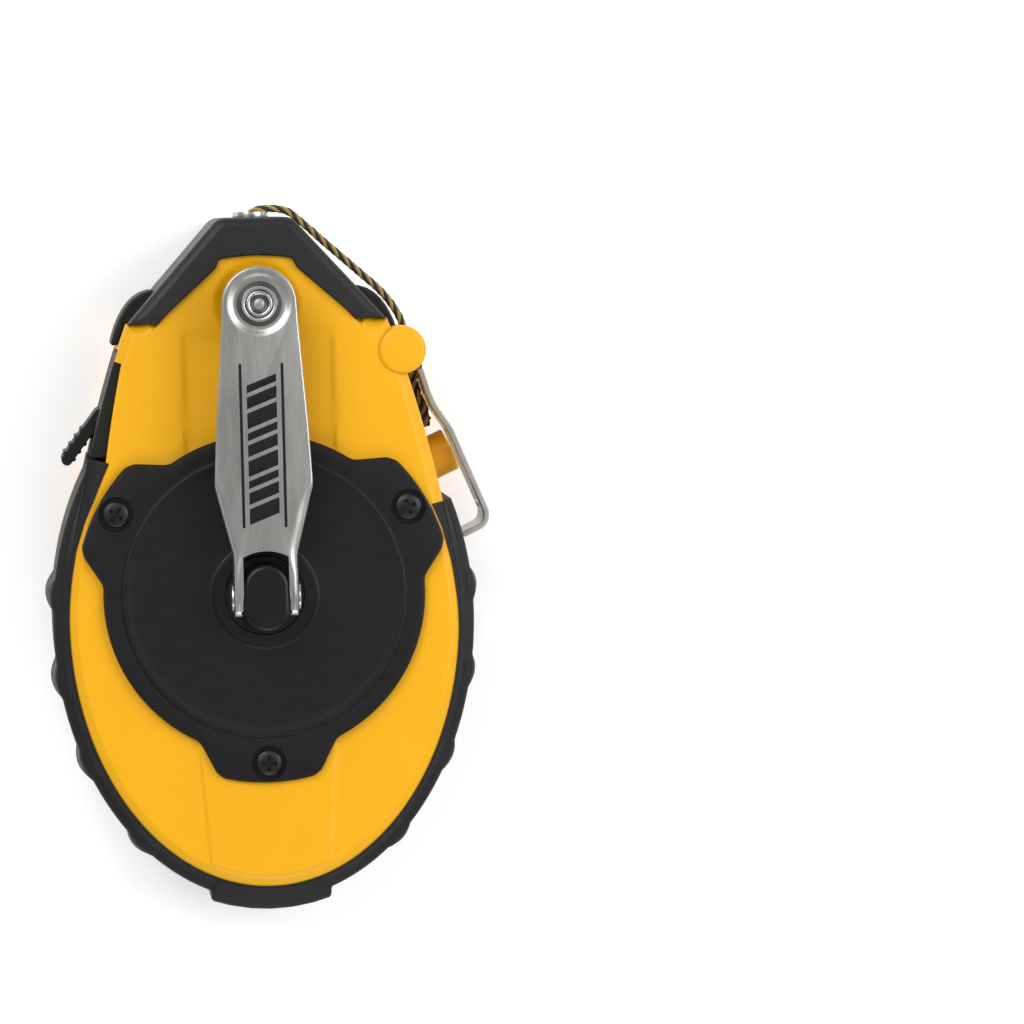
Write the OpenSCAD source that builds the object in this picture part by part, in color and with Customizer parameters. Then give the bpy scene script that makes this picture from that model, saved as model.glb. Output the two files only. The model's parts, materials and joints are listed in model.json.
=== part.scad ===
// Chalk line reel with a folding crank, geared rewind and side fill door.
// It lies on its back: +Z is the crank side, +Y points to the nose, and the crank axis is at X = Y = 0.

/* [Case] */
// Half width of the case at its widest
case_half_w = 39.3; // [37:0.1:41]
// Distance from the widest line to the bottom of the case
case_lower_h = 54; // [51:0.5:56]
// Depth of the two shells together
case_d = 40; // [38:0.5:42]
// Height of the joint between the shells
split_z = 20; // [18:0.5:22]
// Shell wall thickness
wall_t = 2.2; // [1.8:0.1:2.6]
// Thickness of the flat front and rear walls
face_t = 2.4; // [2:0.1:2.8]

/* [Bumper] */
// How far the rubber stands out from the shells
bumper_t = 2.9; // [2.4:0.1:3.2]
// Radius of each grip bump
bump_r = 4.8; // [4.2:0.1:5.2]
// How far the front and rear edges of the rubber stay back from the faces
bumper_back = 3.2; // [2.5:0.1:4.5]

/* [Gear cover] */
// Radius of the round cover
cover_r = 32.1; // [31.5:0.1:33]
// Radius of the outer edge of the three lobes
lobe_r = 37.6; // [37.2:0.1:38.2]
// Radius of the circle of the three cover screws
cover_screw_pcr = 33.7; // [33:0.1:34]
// Plate thickness
cover_t = 1.8; // [1.5:0.1:1.9]

/* [Crank] */
// From the fold pin to the knob rivet
arm_len = 58.2; // [57:0.1:59.5]
// Sheet thickness of the arm
arm_t = 1.6; // [1.4:0.1:1.7]
// Radius of the knob end of the arm
arm_tip_r = 7.4; // [7:0.1:7.8]
// Half width across the outer faces of the two ears
ear_out = 6.35; // [6.2:0.05:6.6]
// Radius of the knob
knob_r = 6.3; // [5.5:0.1:6.4]

/* [Clutch button] */
// Width of the button
button_w = 9.1; // [8.9:0.1:9.2]
// Length of the button
button_l = 13.4; // [13:0.1:13.8]
// Travel of the button when pressed
button_travel = 1.5; // [1:0.1:1.5]

/* [Gears] */
// Teeth on the sun gear of the spool
sun_teeth = 24; // [24:24:24]
// Teeth on each planet gear
planet_teeth = 12; // [12:12:12]
// Radius of the line spool flanges
spool_r = 26.5; // [24:0.5:26.5]

/* [Line and hook] */
// Diameter of the braided line
line_d = 1.6; // [1.6:0.1:2]
// Thickness of the hook strip
hook_t = 1.15; // [1:0.05:1.3]
// Width of the hook strip
hook_w = 16; // [14:0.5:18]

/* [Hidden] */
$fn = 72;
fit_gap = 0.05;

widest_y = -5;
inner_face_z = case_d - face_t;
nose_flank = [26, 54.5];
nose_foot = [23.28, 54.5];
nose_top = [6.4, 73.2];
cap_top_z = case_d + 1.2;
cap_plate_z = case_d - 1.2;
cap_outline = [[25.8, 54.5], [7.3, 75.2], [-7.3, 75.2], [-25.8, 54.5]];
cap_window_foot = [19.9, 54.5];
cap_window_side = [7.9, 65.3];
cap_window_top = [7.3, 67];
pad_z = [9, 29];

bumper_end_right = 17.6;
bumper_end_left = 25.6;
bumper_upper_h = 53.7;
boss_half_w = 11.6;
boss_bottom = -63.6;
bump_ys = [0.5, -17, -34, -50];
bumper_z = [bumper_back, case_d - bumper_back];

cover_top = case_d + cover_t;
cover_hole_r = 27;
collar_r = 10.2;
collar_top = 42.5;
lobe_angles = [30, 150, 270];
cover_screw_r = 1.5;
cover_recess_r = 3.35;

screw_posts = [[28.5, -30], [-28.5, -30], [0, -53.6], [17, 50.6], [-17, 50.6]];
post_r = 3.2;
screw_r = 1.5;
screw_head_r = 2.8;
screw_head_z = [0.8, 3];

gear_pitch = 1;
ring_teeth = sun_teeth + 2 * planet_teeth;
planet_orbit = gear_pitch * (sun_teeth + planet_teeth) / 2;
planet_angles = [90, 210, 330];
housing_r = 28.6;
ring_gear_r = 26.8;
housing_z = 28.6;
gear_floor_z = 30.2;
sun_z = [30.8, 35.4];
planet_z = [30.8, 36];
carrier_z = [36.7, 38.3];
ring_gear_top = 37.2;
stub_r = 5;
stub_bore_r = 4;
stub_bottom = 30;
hub_shaft_r = 6;
hub_flange_r = 7.7;
hub_flange_z = [41.1, 42.5];

axle_r = 3;
axle_top = 29.4;
bush_r = 4.5;
spool_z = [4, 28];
flange_t = 1.4;
core_r = 9;
neck_r = 7;
neck_bore_r = 5.3;
winding_r = 21.5;

pin_z = 47.5;
pin_r = 1.4;
arm_z = pin_z + 3;
arm_top = arm_z + arm_t;
ear_t = 1.65;
ear_r = 3.9;
core_half_w = 3.2;
core_half_l = 5.3;
button_top = 52.4;
button_cap_t = 1.3;
button_low = 44.4;
leg_half_w = 1.2;
leg_y = [3, 4.2];
pad_low = 38.4;
pad_high = 39.6;

door_y = [28.2, 48.2];
door_t = 3;
door_swing_y = 49.5;
door_shown_y = 45.5;
door_z = [2.4, 38];
port_y = [32, 44.5];
port_z = [9, 31];
seal_t = 0.7;
door_knuckle_r = 1.5;
door_pin_r = 0.8;

mid_z = split_z;
post_from = [31.5, 23.7];
post_to = [39.4, 27.3];
hook_post_r = 4.4;
hook_edge = [[33.75, 43.9], [35.2, 39], [36.3, 36.4], [39.4, 31.8], [46.4, 14.8], [46.3, 13], [45.4, 11.5],
    [41.4, 9.6]];
hook_pivot = [32.9, 45.2];
hook_eye = [33.74, 41.92];
hook_slot_r = [13.4, 31.6];
post_room_w = 10;
knot_r = 1.2;
tail_route = [[-1.4, -1.9], [-1.2, -2.9], [-0.8, -4.2], [-0.3, -6], [0.2, -7.8], [0.9, -9.6], [1.5, -11.4],
    [2, -12.8]];
tail_gap = 1.05;
keeper = [28.8, 48.1];
keeper_r = 4.8;
keeper_z = [30.6, 40.7];
line_route = [[-1.3, 72.6], [-1.1, 74], [-0.5, 75.3], [0.4, 76.2], [1.6, 76.7], [3.2, 76.9], [5.2, 76.8],
    [7.1, 76.4], [8.5, 75.6], [10.2, 74.1], [12, 72.5], [14, 70.6], [16, 68.8], [18, 67], [20, 65.2],
    [22, 63.4], [23.8, 61.8], [25.5, 60.2], [27, 58.5], [28.2, 56.9], [29.2, 55.3], [30, 53.6], [30.5, 51.8],
    [30.9, 50], [31.3, 48.4], [31.8, 47.3], [32.35, 46.45]];

// ---------- outlines ----------

function flip(pts) = [for (i = [len(pts) - 1 : -1 : 0]) [-pts[i].x, pts[i].y]];
function unit(v) = v / norm(v);
function bezier(a, b, c, d, t) =
    pow(1 - t, 3) * a + 3 * pow(1 - t, 2) * t * b + 3 * (1 - t) * t * t * c + pow(t, 3) * d;

// Mitred offset of a closed outline that runs anticlockwise; d > 0 grows it.
function grow(pts, d) = [for (i = [0 : len(pts) - 1])
    let (n = len(pts), a = pts[(i + n - 1) % n], p = pts[i], b = pts[(i + 1) % n],
         u = unit(p - a), v = unit(b - p), nu = [u.y, -u.x], nv = [v.y, -v.x])
    p + d * (nu + nv) / (1 + nu * nv)];

// Offset of an open path to its right-hand side.
function beside(pts, d) = [for (i = [0 : len(pts) - 1])
    let (u = unit(pts[max(i, 1)] - pts[max(i, 1) - 1]),
         v = unit(pts[min(i + 1, len(pts) - 1)] - pts[min(i + 1, len(pts) - 1) - 1]),
         nu = [u.y, -u.x], nv = [v.y, -v.x])
    pts[i] + d * (nu + nv) / (1 + nu * nv)];

function lower_arc(a, b, from, to, step) = [for (t = [from : step : to]) [a * cos(t), widest_y + b * sin(t)]];
function flank(t) = bezier([case_half_w, widest_y], [case_half_w, 8], [32.5, 38], nose_flank, t);
flank_pts = [for (i = [1 : 12]) flank(i / 12)];
case_half = concat(lower_arc(case_half_w, case_lower_h, -90, 0, 6), flank_pts, [nose_foot, nose_top]);
case_left = flip(case_half);
case_pts = concat(case_half, [for (i = [0 : len(case_left) - 2]) case_left[i]]);

bumper_a = case_half_w + bumper_t;
bumper_b = case_lower_h + bumper_t;
function upper_angle(y) = asin((y - widest_y) / bumper_upper_h);
function upper_arc(to, n) = [for (i = [1 : n]) let (t = upper_angle(to) * i / n)
    [bumper_a * cos(t), widest_y + bumper_upper_h * sin(t)]];

// A band along the left flank, between two heights and two distances from the case outline.
door_slab = 20;
module door_band(y0, y1, out, in) {
    intersection() {
        difference() {
            polygon(grow(case_pts, out));
            polygon(grow(case_pts, -in));
        }
        translate([-45, y0]) square([door_slab, y1 - y0]);
    }
}

function door_hinge() = let (u = unit(flank(0.89) - flank(0.87)), p = flank(0.88) - door_knuckle_r * [u.y, -u.x])
    [-p.x, p.y];

// ---------- small helpers ----------

module slab(pts, z) translate([0, 0, z[0]]) linear_extrude(z[1] - z[0]) polygon(pts);
module disc(r, z) translate([0, 0, z[0]]) cylinder(r = r, h = z[1] - z[0]);
module tube(r_out, r_in, z) difference() {
    disc(r_out, z);
    disc(r_in, [z[0] - 1, z[1] + 1]);
}
module obround(w, l, z) translate([0, 0, z[0]]) linear_extrude(z[1] - z[0]) union() {
    square([w, l - w], center = true);
    for (s = [-1, 1]) translate([0, s * (l - w) / 2]) circle(d = w);
}
module across(r, from, to) translate([from, 0, pin_z]) rotate([0, 90, 0]) cylinder(r = r, h = to - from);

// A closed tube swept along points in space.
module sweep(path, r, sides) {
    n = len(path);
    rings = [for (i = [0 : n - 1])
        let (t = unit(path[min(i + 1, n - 1)] - path[max(i - 1, 0)]),
             side = unit(cross(t, [0.02, 0.03, 1])), up = cross(side, t))
        for (k = [0 : sides - 1]) path[i] + r * (cos(360 * k / sides) * side + sin(360 * k / sides) * up)];
    walls = [for (i = [0 : n - 2]) for (k = [0 : sides - 1])
        [i * sides + k, i * sides + (k + 1) % sides, (i + 1) * sides + (k + 1) % sides, (i + 1) * sides + k]];
    first_cap = [for (k = [sides - 1 : -1 : 0]) k];
    last_cap = [for (k = [0 : sides - 1]) (n - 1) * sides + k];
    polyhedron(points = rings, faces = concat(walls, [first_cap], [last_cap]), convexity = 10);
}

// ---------- gears ----------

pressure = 20;
function involute_lag(a) = tan(a) * 180 / PI - a;
function flank_half_angle(teeth, r, slack) = let (rp = gear_pitch * teeth / 2, rb = rp * cos(pressure))
    90 / teeth - slack * 180 / PI / rp + involute_lag(pressure) - involute_lag(acos(min(1, rb / max(r, rb))));
function tooth(teeth, root, tip, slack, turn) = let (rb = gear_pitch * teeth / 2 * cos(pressure),
    start = max(root, rb), rs = concat(root < rb ? [root] : [], [for (i = [0 : 3]) start + (tip - start) * i / 3]))
    concat([for (r = rs) let (a = turn - flank_half_angle(teeth, r, slack)) r * [cos(a), sin(a)]],
        [for (i = [len(rs) - 1 : -1 : 0]) let (a = turn + flank_half_angle(teeth, rs[i], slack))
            rs[i] * [cos(a), sin(a)]]);
module gear_profile(teeth, root, tip, slack, turn)
    polygon([for (i = [0 : teeth - 1]) each tooth(teeth, root, tip, slack, turn + 360 * i / teeth)]);

module planet(a) translate([planet_orbit * cos(a), planet_orbit * sin(a), planet_z[0]]) difference() {
    linear_extrude(planet_z[1] - planet_z[0]) gear_profile(planet_teeth, 4.75, 6.85, 0.09, 15);
    translate([0, 0, -1]) cylinder(r = 1.5 + fit_gap, h = 10);
}

// ---------- case ----------

module screw_post(p, z) translate([p.x, p.y, 0]) disc(post_r, z);
module hook_post_body(r) translate([post_from.x, post_from.y, mid_z])
    rotate([0, 90, atan2(post_to.y - post_from.y, post_to.x - post_from.x)])
        cylinder(r = r, h = norm(post_to - post_from));
module hinge_barrel(r, z) translate([door_hinge().x, door_hinge().y, 0]) disc(r, z);

module door_room() {
    translate([0, 0, door_z[0] - 0.2]) linear_extrude(door_z[1] - door_z[0] + 0.4)
        door_band(door_y[0] - 0.3, door_y[1], 1, door_t + seal_t + 0.15);
    translate([0, 0, door_z[0] - 0.2]) linear_extrude(door_z[1] - door_z[0] + 0.4)
        door_band(door_hinge().y, door_swing_y, 1, door_knuckle_r + 0.05);
    hinge_barrel(door_knuckle_r + 0.15, [door_z[0] - 0.2, door_z[1] + 0.2]);
}
module port_frame(z) difference() {
    translate([0, 0, z[0]]) linear_extrude(z[1] - z[0])
        door_band(door_y[0] - 3, door_y[1] + 3, -door_t + 1.6, door_t + seal_t + 2.2);
    door_room();
}
module fill_port() translate([-45, port_y[0], port_z[0]])
    cube([20, port_y[1] - port_y[0], port_z[1] - port_z[0]]);
module guide_hole() translate([0, 0, mid_z]) rotate([-90, 0, 0]) cylinder(r = 2.9, h = 90);

// Ribs that hold the felt block in the nose.
module felt_ribs(z) for (y = [57.4, 68.1]) translate([-8, y, z[0]]) difference() {
    cube([16, 1.4, z[1] - z[0]]);
    translate([8, -1, mid_z - z[0]]) rotate([-90, 0, 0]) cylinder(r = 2.9, h = 4);
}

module front_shell() color([0.98, 0.72, 0.1]) {
    difference() {
        union() {
            difference() {
                union() {
                    slab(case_pts, [split_z, case_d - 1.6]);
                    slab(grow(case_pts, -0.5), [case_d - 1.6, case_d - 0.6]);
                    slab(grow(case_pts, -1.3), [case_d - 0.6, case_d]);
                    translate([keeper.x, keeper.y, 0]) disc(keeper_r, keeper_z);
                }
                slab(grow(case_pts, -wall_t), [split_z - 1, inner_face_z]);
                disc(cover_hole_r, [inner_face_z - 1, case_d + 1]);
                for (a = lobe_angles) rotate(a) translate([cover_screw_pcr, 0, 0])
                    disc(cover_screw_r, [inner_face_z - 1, case_d + 1]);
                difference() {
                    slab(cap_outline, [cap_plate_z, case_d + 1]);
                    slab(cap_window(), [cap_plate_z - 1, case_d + 2]);
                }
                door_room();
                translate([0, 0, door_z[1]]) linear_extrude(case_d)
                    door_band(door_y[0] - 0.3, door_shown_y, 1, door_t + 0.3);
            }
            for (p = screw_posts) screw_post(p, [split_z, inner_face_z]);
            for (a = lobe_angles) rotate(a) translate([cover_screw_pcr, 0, 0])
                tube(2.8, cover_screw_r, [29, inner_face_z + 0.5]);
            intersection() {
                port_frame([split_z, inner_face_z]);
                slab(case_pts, [split_z, case_d]);
            }
            felt_ribs([split_z, inner_face_z]);
        }
        for (p = screw_posts) translate([p.x, p.y, 0]) disc(screw_r, [split_z - 1, 33]);
        fill_port();
        guide_hole();
        hook_post_body(hook_post_r);
        hinge_barrel(door_pin_r, [split_z, door_z[1] + 1.4]);
    }
}

module rear_shell() color([0.98, 0.72, 0.1]) {
    difference() {
        union() {
            difference() {
                union() {
                    slab(case_pts, [1.6, split_z]);
                    slab(grow(case_pts, -0.5), [0.6, 1.6]);
                    slab(grow(case_pts, -1.3), [0, 0.6]);
                }
                slab(grow(case_pts, -wall_t), [face_t, split_z + 1]);
                slab([for (p = cap_outline) [p.x * 1.3, p.y]], [-1, 0.8]);
                door_room();
            }
            for (p = screw_posts) screw_post(p, [face_t, split_z]);
            disc(6, [face_t, 3.6]);
            intersection() {
                port_frame([face_t, split_z]);
                slab(case_pts, [0, split_z]);
            }
            felt_ribs([face_t, split_z]);
        }
        for (p = screw_posts) translate([p.x, p.y, 0]) {
            disc(screw_r, [-1, split_z + 1]);
            disc(screw_head_r, [-1, screw_head_z[1]]);
        }
        disc(axle_r, [1.2, 5]);
        fill_port();
        guide_hole();
        hook_post_body(hook_post_r);
        hinge_barrel(door_pin_r, [door_z[0] - 1, split_z]);
    }
}

module bumper_outline() difference() {
    union() {
        polygon(concat(lower_arc(bumper_a, bumper_b, -90, 0, 6), upper_arc(bumper_end_right, 5),
            [[0, bumper_end_right], [0, bumper_end_left]], flip(upper_arc(bumper_end_left, 6)),
            flip([for (p = lower_arc(bumper_a, bumper_b, -84, 0, 6)) p])));
        for (y = bump_ys, s = [-1, 1]) let (t = asin((y - widest_y) / (y > widest_y ? bumper_upper_h : bumper_b)),
            x = (bumper_a - bump_r + 1.5) * cos(t), yy = widest_y + (bumper_b - bump_r + 1.5) * sin(t))
            translate([s * x, yy]) circle(bump_r);
        polygon([[-boss_half_w - 0.8, -50], [-boss_half_w, boss_bottom + 1.4], [-boss_half_w + 1.2, boss_bottom + 0.4],
            [0, boss_bottom], [boss_half_w - 1.2, boss_bottom + 0.4], [boss_half_w, boss_bottom + 1.4],
            [boss_half_w + 0.8, -50]]);
    }
    polygon(case_pts);
}
module front_bumper() color([0.12, 0.12, 0.13]) translate([0, 0, split_z])
    linear_extrude(bumper_z[1] - split_z) bumper_outline();
module rear_bumper() color([0.12, 0.12, 0.13]) translate([0, 0, bumper_z[0]])
    linear_extrude(split_z - bumper_z[0]) bumper_outline();

function cap_window() = concat([cap_window_foot, cap_window_side, cap_window_top],
    [for (i = [1 : 7]) let (x = cap_window_top.x * (1 - i / 4))
        [x, cap_window_top.y + 0.7 * (1 - pow(x / cap_window_top.x, 2))]],
    flip([cap_window_foot, cap_window_side, cap_window_top]), [[-cap_window_foot.x, 54], [cap_window_foot.x, 54]]);
pad_curve = [for (i = [0 : 8]) bezier([29.1, 50.2], [28, 55], [25.5, 60.2], [21.2, 61], i / 8)];
pad_pts = concat(pad_curve, [[17.4, 61], nose_foot, nose_flank, [27.65, 50.2]]);
module both_sides() {
    children();
    mirror([1, 0, 0]) children();
}
module cap_wall(z) difference() {
    slab(cap_outline, z);
    slab(case_pts, [z[0] - 1, z[1] + 1]);
    both_sides() slab(pad_pts, pad_z);
    guide_hole();
}
module nose_cap_front() color([0.2, 0.2, 0.21]) {
    cap_wall([split_z, cap_plate_z]);
    difference() {
        slab(cap_outline, [cap_plate_z, cap_top_z]);
        slab(cap_window(), [cap_plate_z - 1, cap_top_z + 1]);
    }
}
module nose_cap_rear() color([0.2, 0.2, 0.21]) {
    cap_wall([0.8, split_z]);
    slab([for (p = cap_outline) p], [0, 0.8]);
}
module corner_pads() color([0.12, 0.12, 0.13]) both_sides() difference() {
    slab(pad_pts, pad_z);
    slab(case_pts, [pad_z[0] - 1, pad_z[1] + 1]);
}

module line_guide() color([0.8, 0.8, 0.8]) translate([0, 0, mid_z]) rotate([-90, 0, 0]) difference() {
    union() {
        translate([0, 0, 70]) cylinder(r = 2.9, h = 5.2);
        translate([0, 0, 75.2]) cylinder(r = 3.6, h = 1.1);
    }
    translate([0, 0, 60]) cylinder(r = 2.35, h = 30);
    translate([0, 0, 76.6]) rotate([0, 90, 0]) cylinder(r = line_d / 2 + 0.15, h = 10);
}
module felt_wiper() color([0.85, 0.85, 0.8]) difference() {
    translate([-7, 58.8, mid_z - 7]) cube([14, 9.3, 14]);
    translate([0, 50, mid_z]) rotate([-90, 0, 0]) cylinder(r = line_d / 2, h = 30);
}
module hook_post() color([0.98, 0.72, 0.1]) hook_post_body(hook_post_r);

// ---------- gear cover ----------

module lobe_outline() polygon(concat([[20, 14.2], [27.4, 15.4], [29.6, 13.4], [35.2, 10.6]],
    [for (a = [14 : -4 : -14]) lobe_r * [cos(a), sin(a)]], [[35.2, -10.6], [29.6, -13.4], [27.4, -15.4], [20, -14.2]]));
module gear_cover() color([0.13, 0.13, 0.14]) difference() {
    union() {
        translate([0, 0, case_d]) linear_extrude(cover_t) {
            circle(cover_r);
            for (a = lobe_angles) rotate(a) lobe_outline();
        }
        tube(ring_gear_r - 0.1, 25, [ring_gear_top, case_d]);
        tube(28.5, 27.9, [cover_top, cover_top + 0.25]);
        tube(collar_r, 8, [38.8, collar_top]);
    }
    disc(8, [30, 50]);
    for (a = lobe_angles) rotate(a) translate([cover_screw_pcr, 0, 0]) {
        disc(cover_screw_r, [30, 50]);
        disc(cover_recess_r, [case_d + 0.5, 50]);
    }
}
module cover_bush() color([0.75, 0.6, 0.35]) tube(8, hub_shaft_r + fit_gap, [38.8, 41]);

module phillips(r, depth) for (a = [45, 135]) rotate(a) translate([-r, -0.35, -depth]) cube([2 * r, 0.7, depth + 1]);
module cover_screws() color([0.1, 0.1, 0.1]) for (a = lobe_angles) rotate(a) translate([cover_screw_pcr, 0, 0])
    difference() {
        union() {
            disc(cover_screw_r, [30, case_d + 0.6]);
            disc(2.6, [case_d + 0.5, case_d + 1.6]);
        }
        translate([0, 0, case_d + 1.6]) phillips(1.6, 0.8);
    }
module case_screws() color([0.1, 0.1, 0.1]) for (p = screw_posts) translate([p.x, p.y, 0]) difference() {
    union() {
        disc(screw_r, [screw_head_z[0], 32]);
        disc(screw_head_r - 0.15, screw_head_z);
    }
    translate([0, 0, screw_head_z[0]]) mirror([0, 0, 1]) phillips(1.7, 1);
}

// ---------- drive ----------

module gear_housing() color([0.3, 0.3, 0.32]) {
    tube(housing_r, 8.6, [housing_z, gear_floor_z]);
    tube(housing_r, ring_gear_r, [gear_floor_z, inner_face_z]);
}
module ring_gear() color([0.85, 0.85, 0.82]) translate([0, 0, gear_floor_z])
    linear_extrude(ring_gear_top - gear_floor_z) difference() {
        circle(ring_gear_r);
        gear_profile(ring_teeth, 23.4, 25.25, -0.09, 3.75);
    }
module chalk_seal() color([0.8, 0.8, 0.75]) tube(8.6, neck_r + 0.08, [housing_z + 0.1, gear_floor_z - 0.1]);
module spool_shaft() color([0.75, 0.75, 0.76]) disc(axle_r, [1.2, axle_top]);
module thrust_washer() color([0.9, 0.9, 0.88]) tube(6, axle_r + fit_gap, [3.6, 3.95]);
module spool() color([0.25, 0.25, 0.27]) {
    tube(spool_r, bush_r, [spool_z[0], spool_z[0] + flange_t]);
    tube(core_r, bush_r, [spool_z[0] + flange_t, spool_z[1] - flange_t]);
    tube(spool_r, neck_bore_r, [spool_z[1] - flange_t, spool_z[1]]);
    tube(neck_r, neck_bore_r, [spool_z[1], sun_z[1]]);
}
module spool_bush() color([0.75, 0.6, 0.3]) tube(bush_r, axle_r + fit_gap, [spool_z[0], spool_z[1] - flange_t]);
module sun_gear() color([0.85, 0.85, 0.82]) difference() {
    translate([0, 0, sun_z[0]]) linear_extrude(sun_z[1] - sun_z[0]) gear_profile(sun_teeth, 10.75, 12.8, 0.09, 0);
    disc(neck_r, [20, 40]);
}
module line_winding() color([0.2, 0.18, 0.1]) rotate_extrude() {
    low = spool_z[0] + flange_t;
    high = spool_z[1] - flange_t;
    turns = 9;
    pitch = (high - low) / turns;
    polygon(concat([[core_r, low]], [for (i = [0 : turns * 4]) let (z = low + pitch * i / 4)
        [winding_r + 0.5 * abs(sin(45 * i)), z]], [[core_r, high]]));
}
module line_lead() color([0.2, 0.18, 0.1]) translate([0, 24.5, mid_z]) rotate([-90, 0, 0])
    cylinder(r = line_d / 2, h = 45.4);
module crank_hub() color([0.6, 0.6, 0.62]) difference() {
    union() {
        disc(stub_r, [stub_bottom, carrier_z[1]]);
        disc(hub_shaft_r, [carrier_z[1], hub_flange_z[0]]);
        disc(hub_flange_r, hub_flange_z);
        obround(core_half_w * 2, core_half_l * 2, [hub_flange_z[1], pin_z + pin_r + 0.6]);
    }
    tube(stub_r + 1, 4.5, [35.8, 36.6]);
    disc(stub_bore_r, [31.2, 40.8]);
    for (s = [-1, 1]) translate([-leg_half_w - 0.15, s > 0 ? leg_y[0] - 0.15 : -leg_y[1] - 0.15, 30])
        cube([2 * leg_half_w + 0.3, leg_y[1] - leg_y[0] + 0.3, 30]);
    across(pin_r + fit_gap, -10, 10);
}
module planet_carrier() color([0.8, 0.8, 0.78]) difference() {
    disc(22.3, carrier_z);
    disc(stub_r, [30, 40]);
    for (a = planet_angles) rotate(a) translate([planet_orbit, 0, 0]) disc(1.5, [30, 40]);
}
module planet_pins() color([0.75, 0.75, 0.76])
    for (a = planet_angles) rotate(a) translate([planet_orbit, 0, 0]) disc(1.5, [30.5, carrier_z[1]]);
module retaining_clip() color([0.4, 0.4, 0.42]) difference() {
    tube(6.3, 4.5, [35.8, 36.6]);
    translate([-1.5, -10, 30]) cube([3, 10, 10]);
}

// ---------- clutch button ----------

module clutch_button() color([0.08, 0.08, 0.09]) {
    difference() {
        obround(button_w, button_l, [button_low, button_top]);
        obround(core_half_w * 2 + 0.3, core_half_l * 2 + 0.3, [button_low - 1, button_top - button_cap_t]);
        hull() {
            across(pin_r + 0.25, -10, 10);
            translate([0, 0, button_travel + 0.2]) across(pin_r + 0.1, -10, 10);
        }
        translate([-10, -pin_r - 0.25, 40]) cube([20, 2 * pin_r + 0.5, pin_z - 40]);
    }
    for (s = [-1, 1]) translate([-leg_half_w, s > 0 ? leg_y[0] : -leg_y[1], pad_high])
        cube([2 * leg_half_w, leg_y[1] - leg_y[0], button_top - button_cap_t - pad_high]);
}
module clutch_pad() color([0.5, 0.5, 0.52]) disc(stub_bore_r - 0.1, [pad_low, pad_high]);
module clutch_spring() color([0.7, 0.7, 0.7]) {
    low = 31.2 + 0.35;
    high = pad_low - 0.35;
    turns = 5;
    steps = 12;
    sweep([for (i = [0 : turns * steps])
        [3 * cos(360 * i / steps), 3 * sin(360 * i / steps), low + (high - low) * i / (turns * steps)]], 0.35, 6);
}

// ---------- crank arm ----------

shoulder_y = 22;
neck_y = 8.6;
arch_r = 9.5;
module arm_outline() difference() {
    union() {
        translate([0, arm_len]) circle(arm_tip_r);
        polygon([[-ear_out, neck_y - 1], [ear_out, neck_y - 1], [ear_out, neck_y], [9.75, shoulder_y],
            [9.1, 34], [7.6, 54], [arm_tip_r, arm_len], [-arm_tip_r, arm_len], [-7.6, 54], [-9.1, 34],
            [-9.75, shoulder_y], [-ear_out, neck_y]]);
    }
    intersection() {
        circle(arch_r);
        square([2 * (ear_out - ear_t), 40], center = true);
    }
}
module ear(s) translate([s > 0 ? ear_out - ear_t : -ear_out, 0, 0]) rotate([90, 0, 90]) linear_extrude(ear_t)
    difference() {
        union() {
            translate([0, pin_z]) circle(ear_r);
            polygon([[0, pin_z - ear_r], [neck_y, pin_z - 1], [neck_y, arm_top], [0.8, arm_top], [0, pin_z + ear_r]]);
        }
        translate([0, pin_z]) circle(pin_r);
    }
module side_flange() translate([0, 0, pin_z + 0.4]) linear_extrude(arm_z - pin_z - 0.4)
    polygon([[ear_out - ear_t, neck_y], [ear_out, neck_y], [9.75, shoulder_y], [9.6, 25], [8.2, 25],
        [9.75 - ear_t, shoulder_y]]);
module crank_arm() color([0.7, 0.7, 0.71]) {
    difference() {
        translate([0, 0, arm_z]) linear_extrude(arm_t) arm_outline();
        translate([0, arm_len, 0]) {
            disc(2.2, [40, 60]);
            disc(6.6, [arm_top - 0.5, 60]);
        }
    }
    ear(1);
    ear(-1);
    both_sides() side_flange();
}
module arm_pin() color([0.8, 0.8, 0.81]) {
    across(pin_r, -ear_out, ear_out);
    across(3, ear_out, ear_out + 0.75);
    across(3, -ear_out - 0.75, -ear_out);
}
module knob_rivet() color([0.75, 0.75, 0.76]) translate([0, arm_len, 0]) difference() {
    union() {
        disc(2.2, [43, arm_top]);
        disc(4.4, [arm_top - 0.5, arm_top + 0.1]);
        disc(3.7, [arm_top + 0.1, arm_top + 0.4]);
        disc(2.65, [arm_top + 0.4, arm_top + 0.7]);
        disc(3.4, [42.2, 43]);
    }
    disc(1.5, [arm_top + 0.2, 60]);
}
module knob_washer() color([0.6, 0.6, 0.6]) translate([0, arm_len, 0]) tube(4.4, 2.2, [arm_z - 0.5, arm_z]);
module crank_knob() color([0.1, 0.1, 0.1]) translate([0, arm_len, 0]) rotate_extrude() {
    polygon([[2.2 + fit_gap, 43.1], [3.6, 43.1], [3.6, 41.8], [5.4, 41.8], [knob_r, 42.8], [knob_r, 45.8],
        [5.6, 47.4], [5, 49.9], [2.2 + fit_gap, 49.9]]);
}

// ---------- fill door ----------

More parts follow.
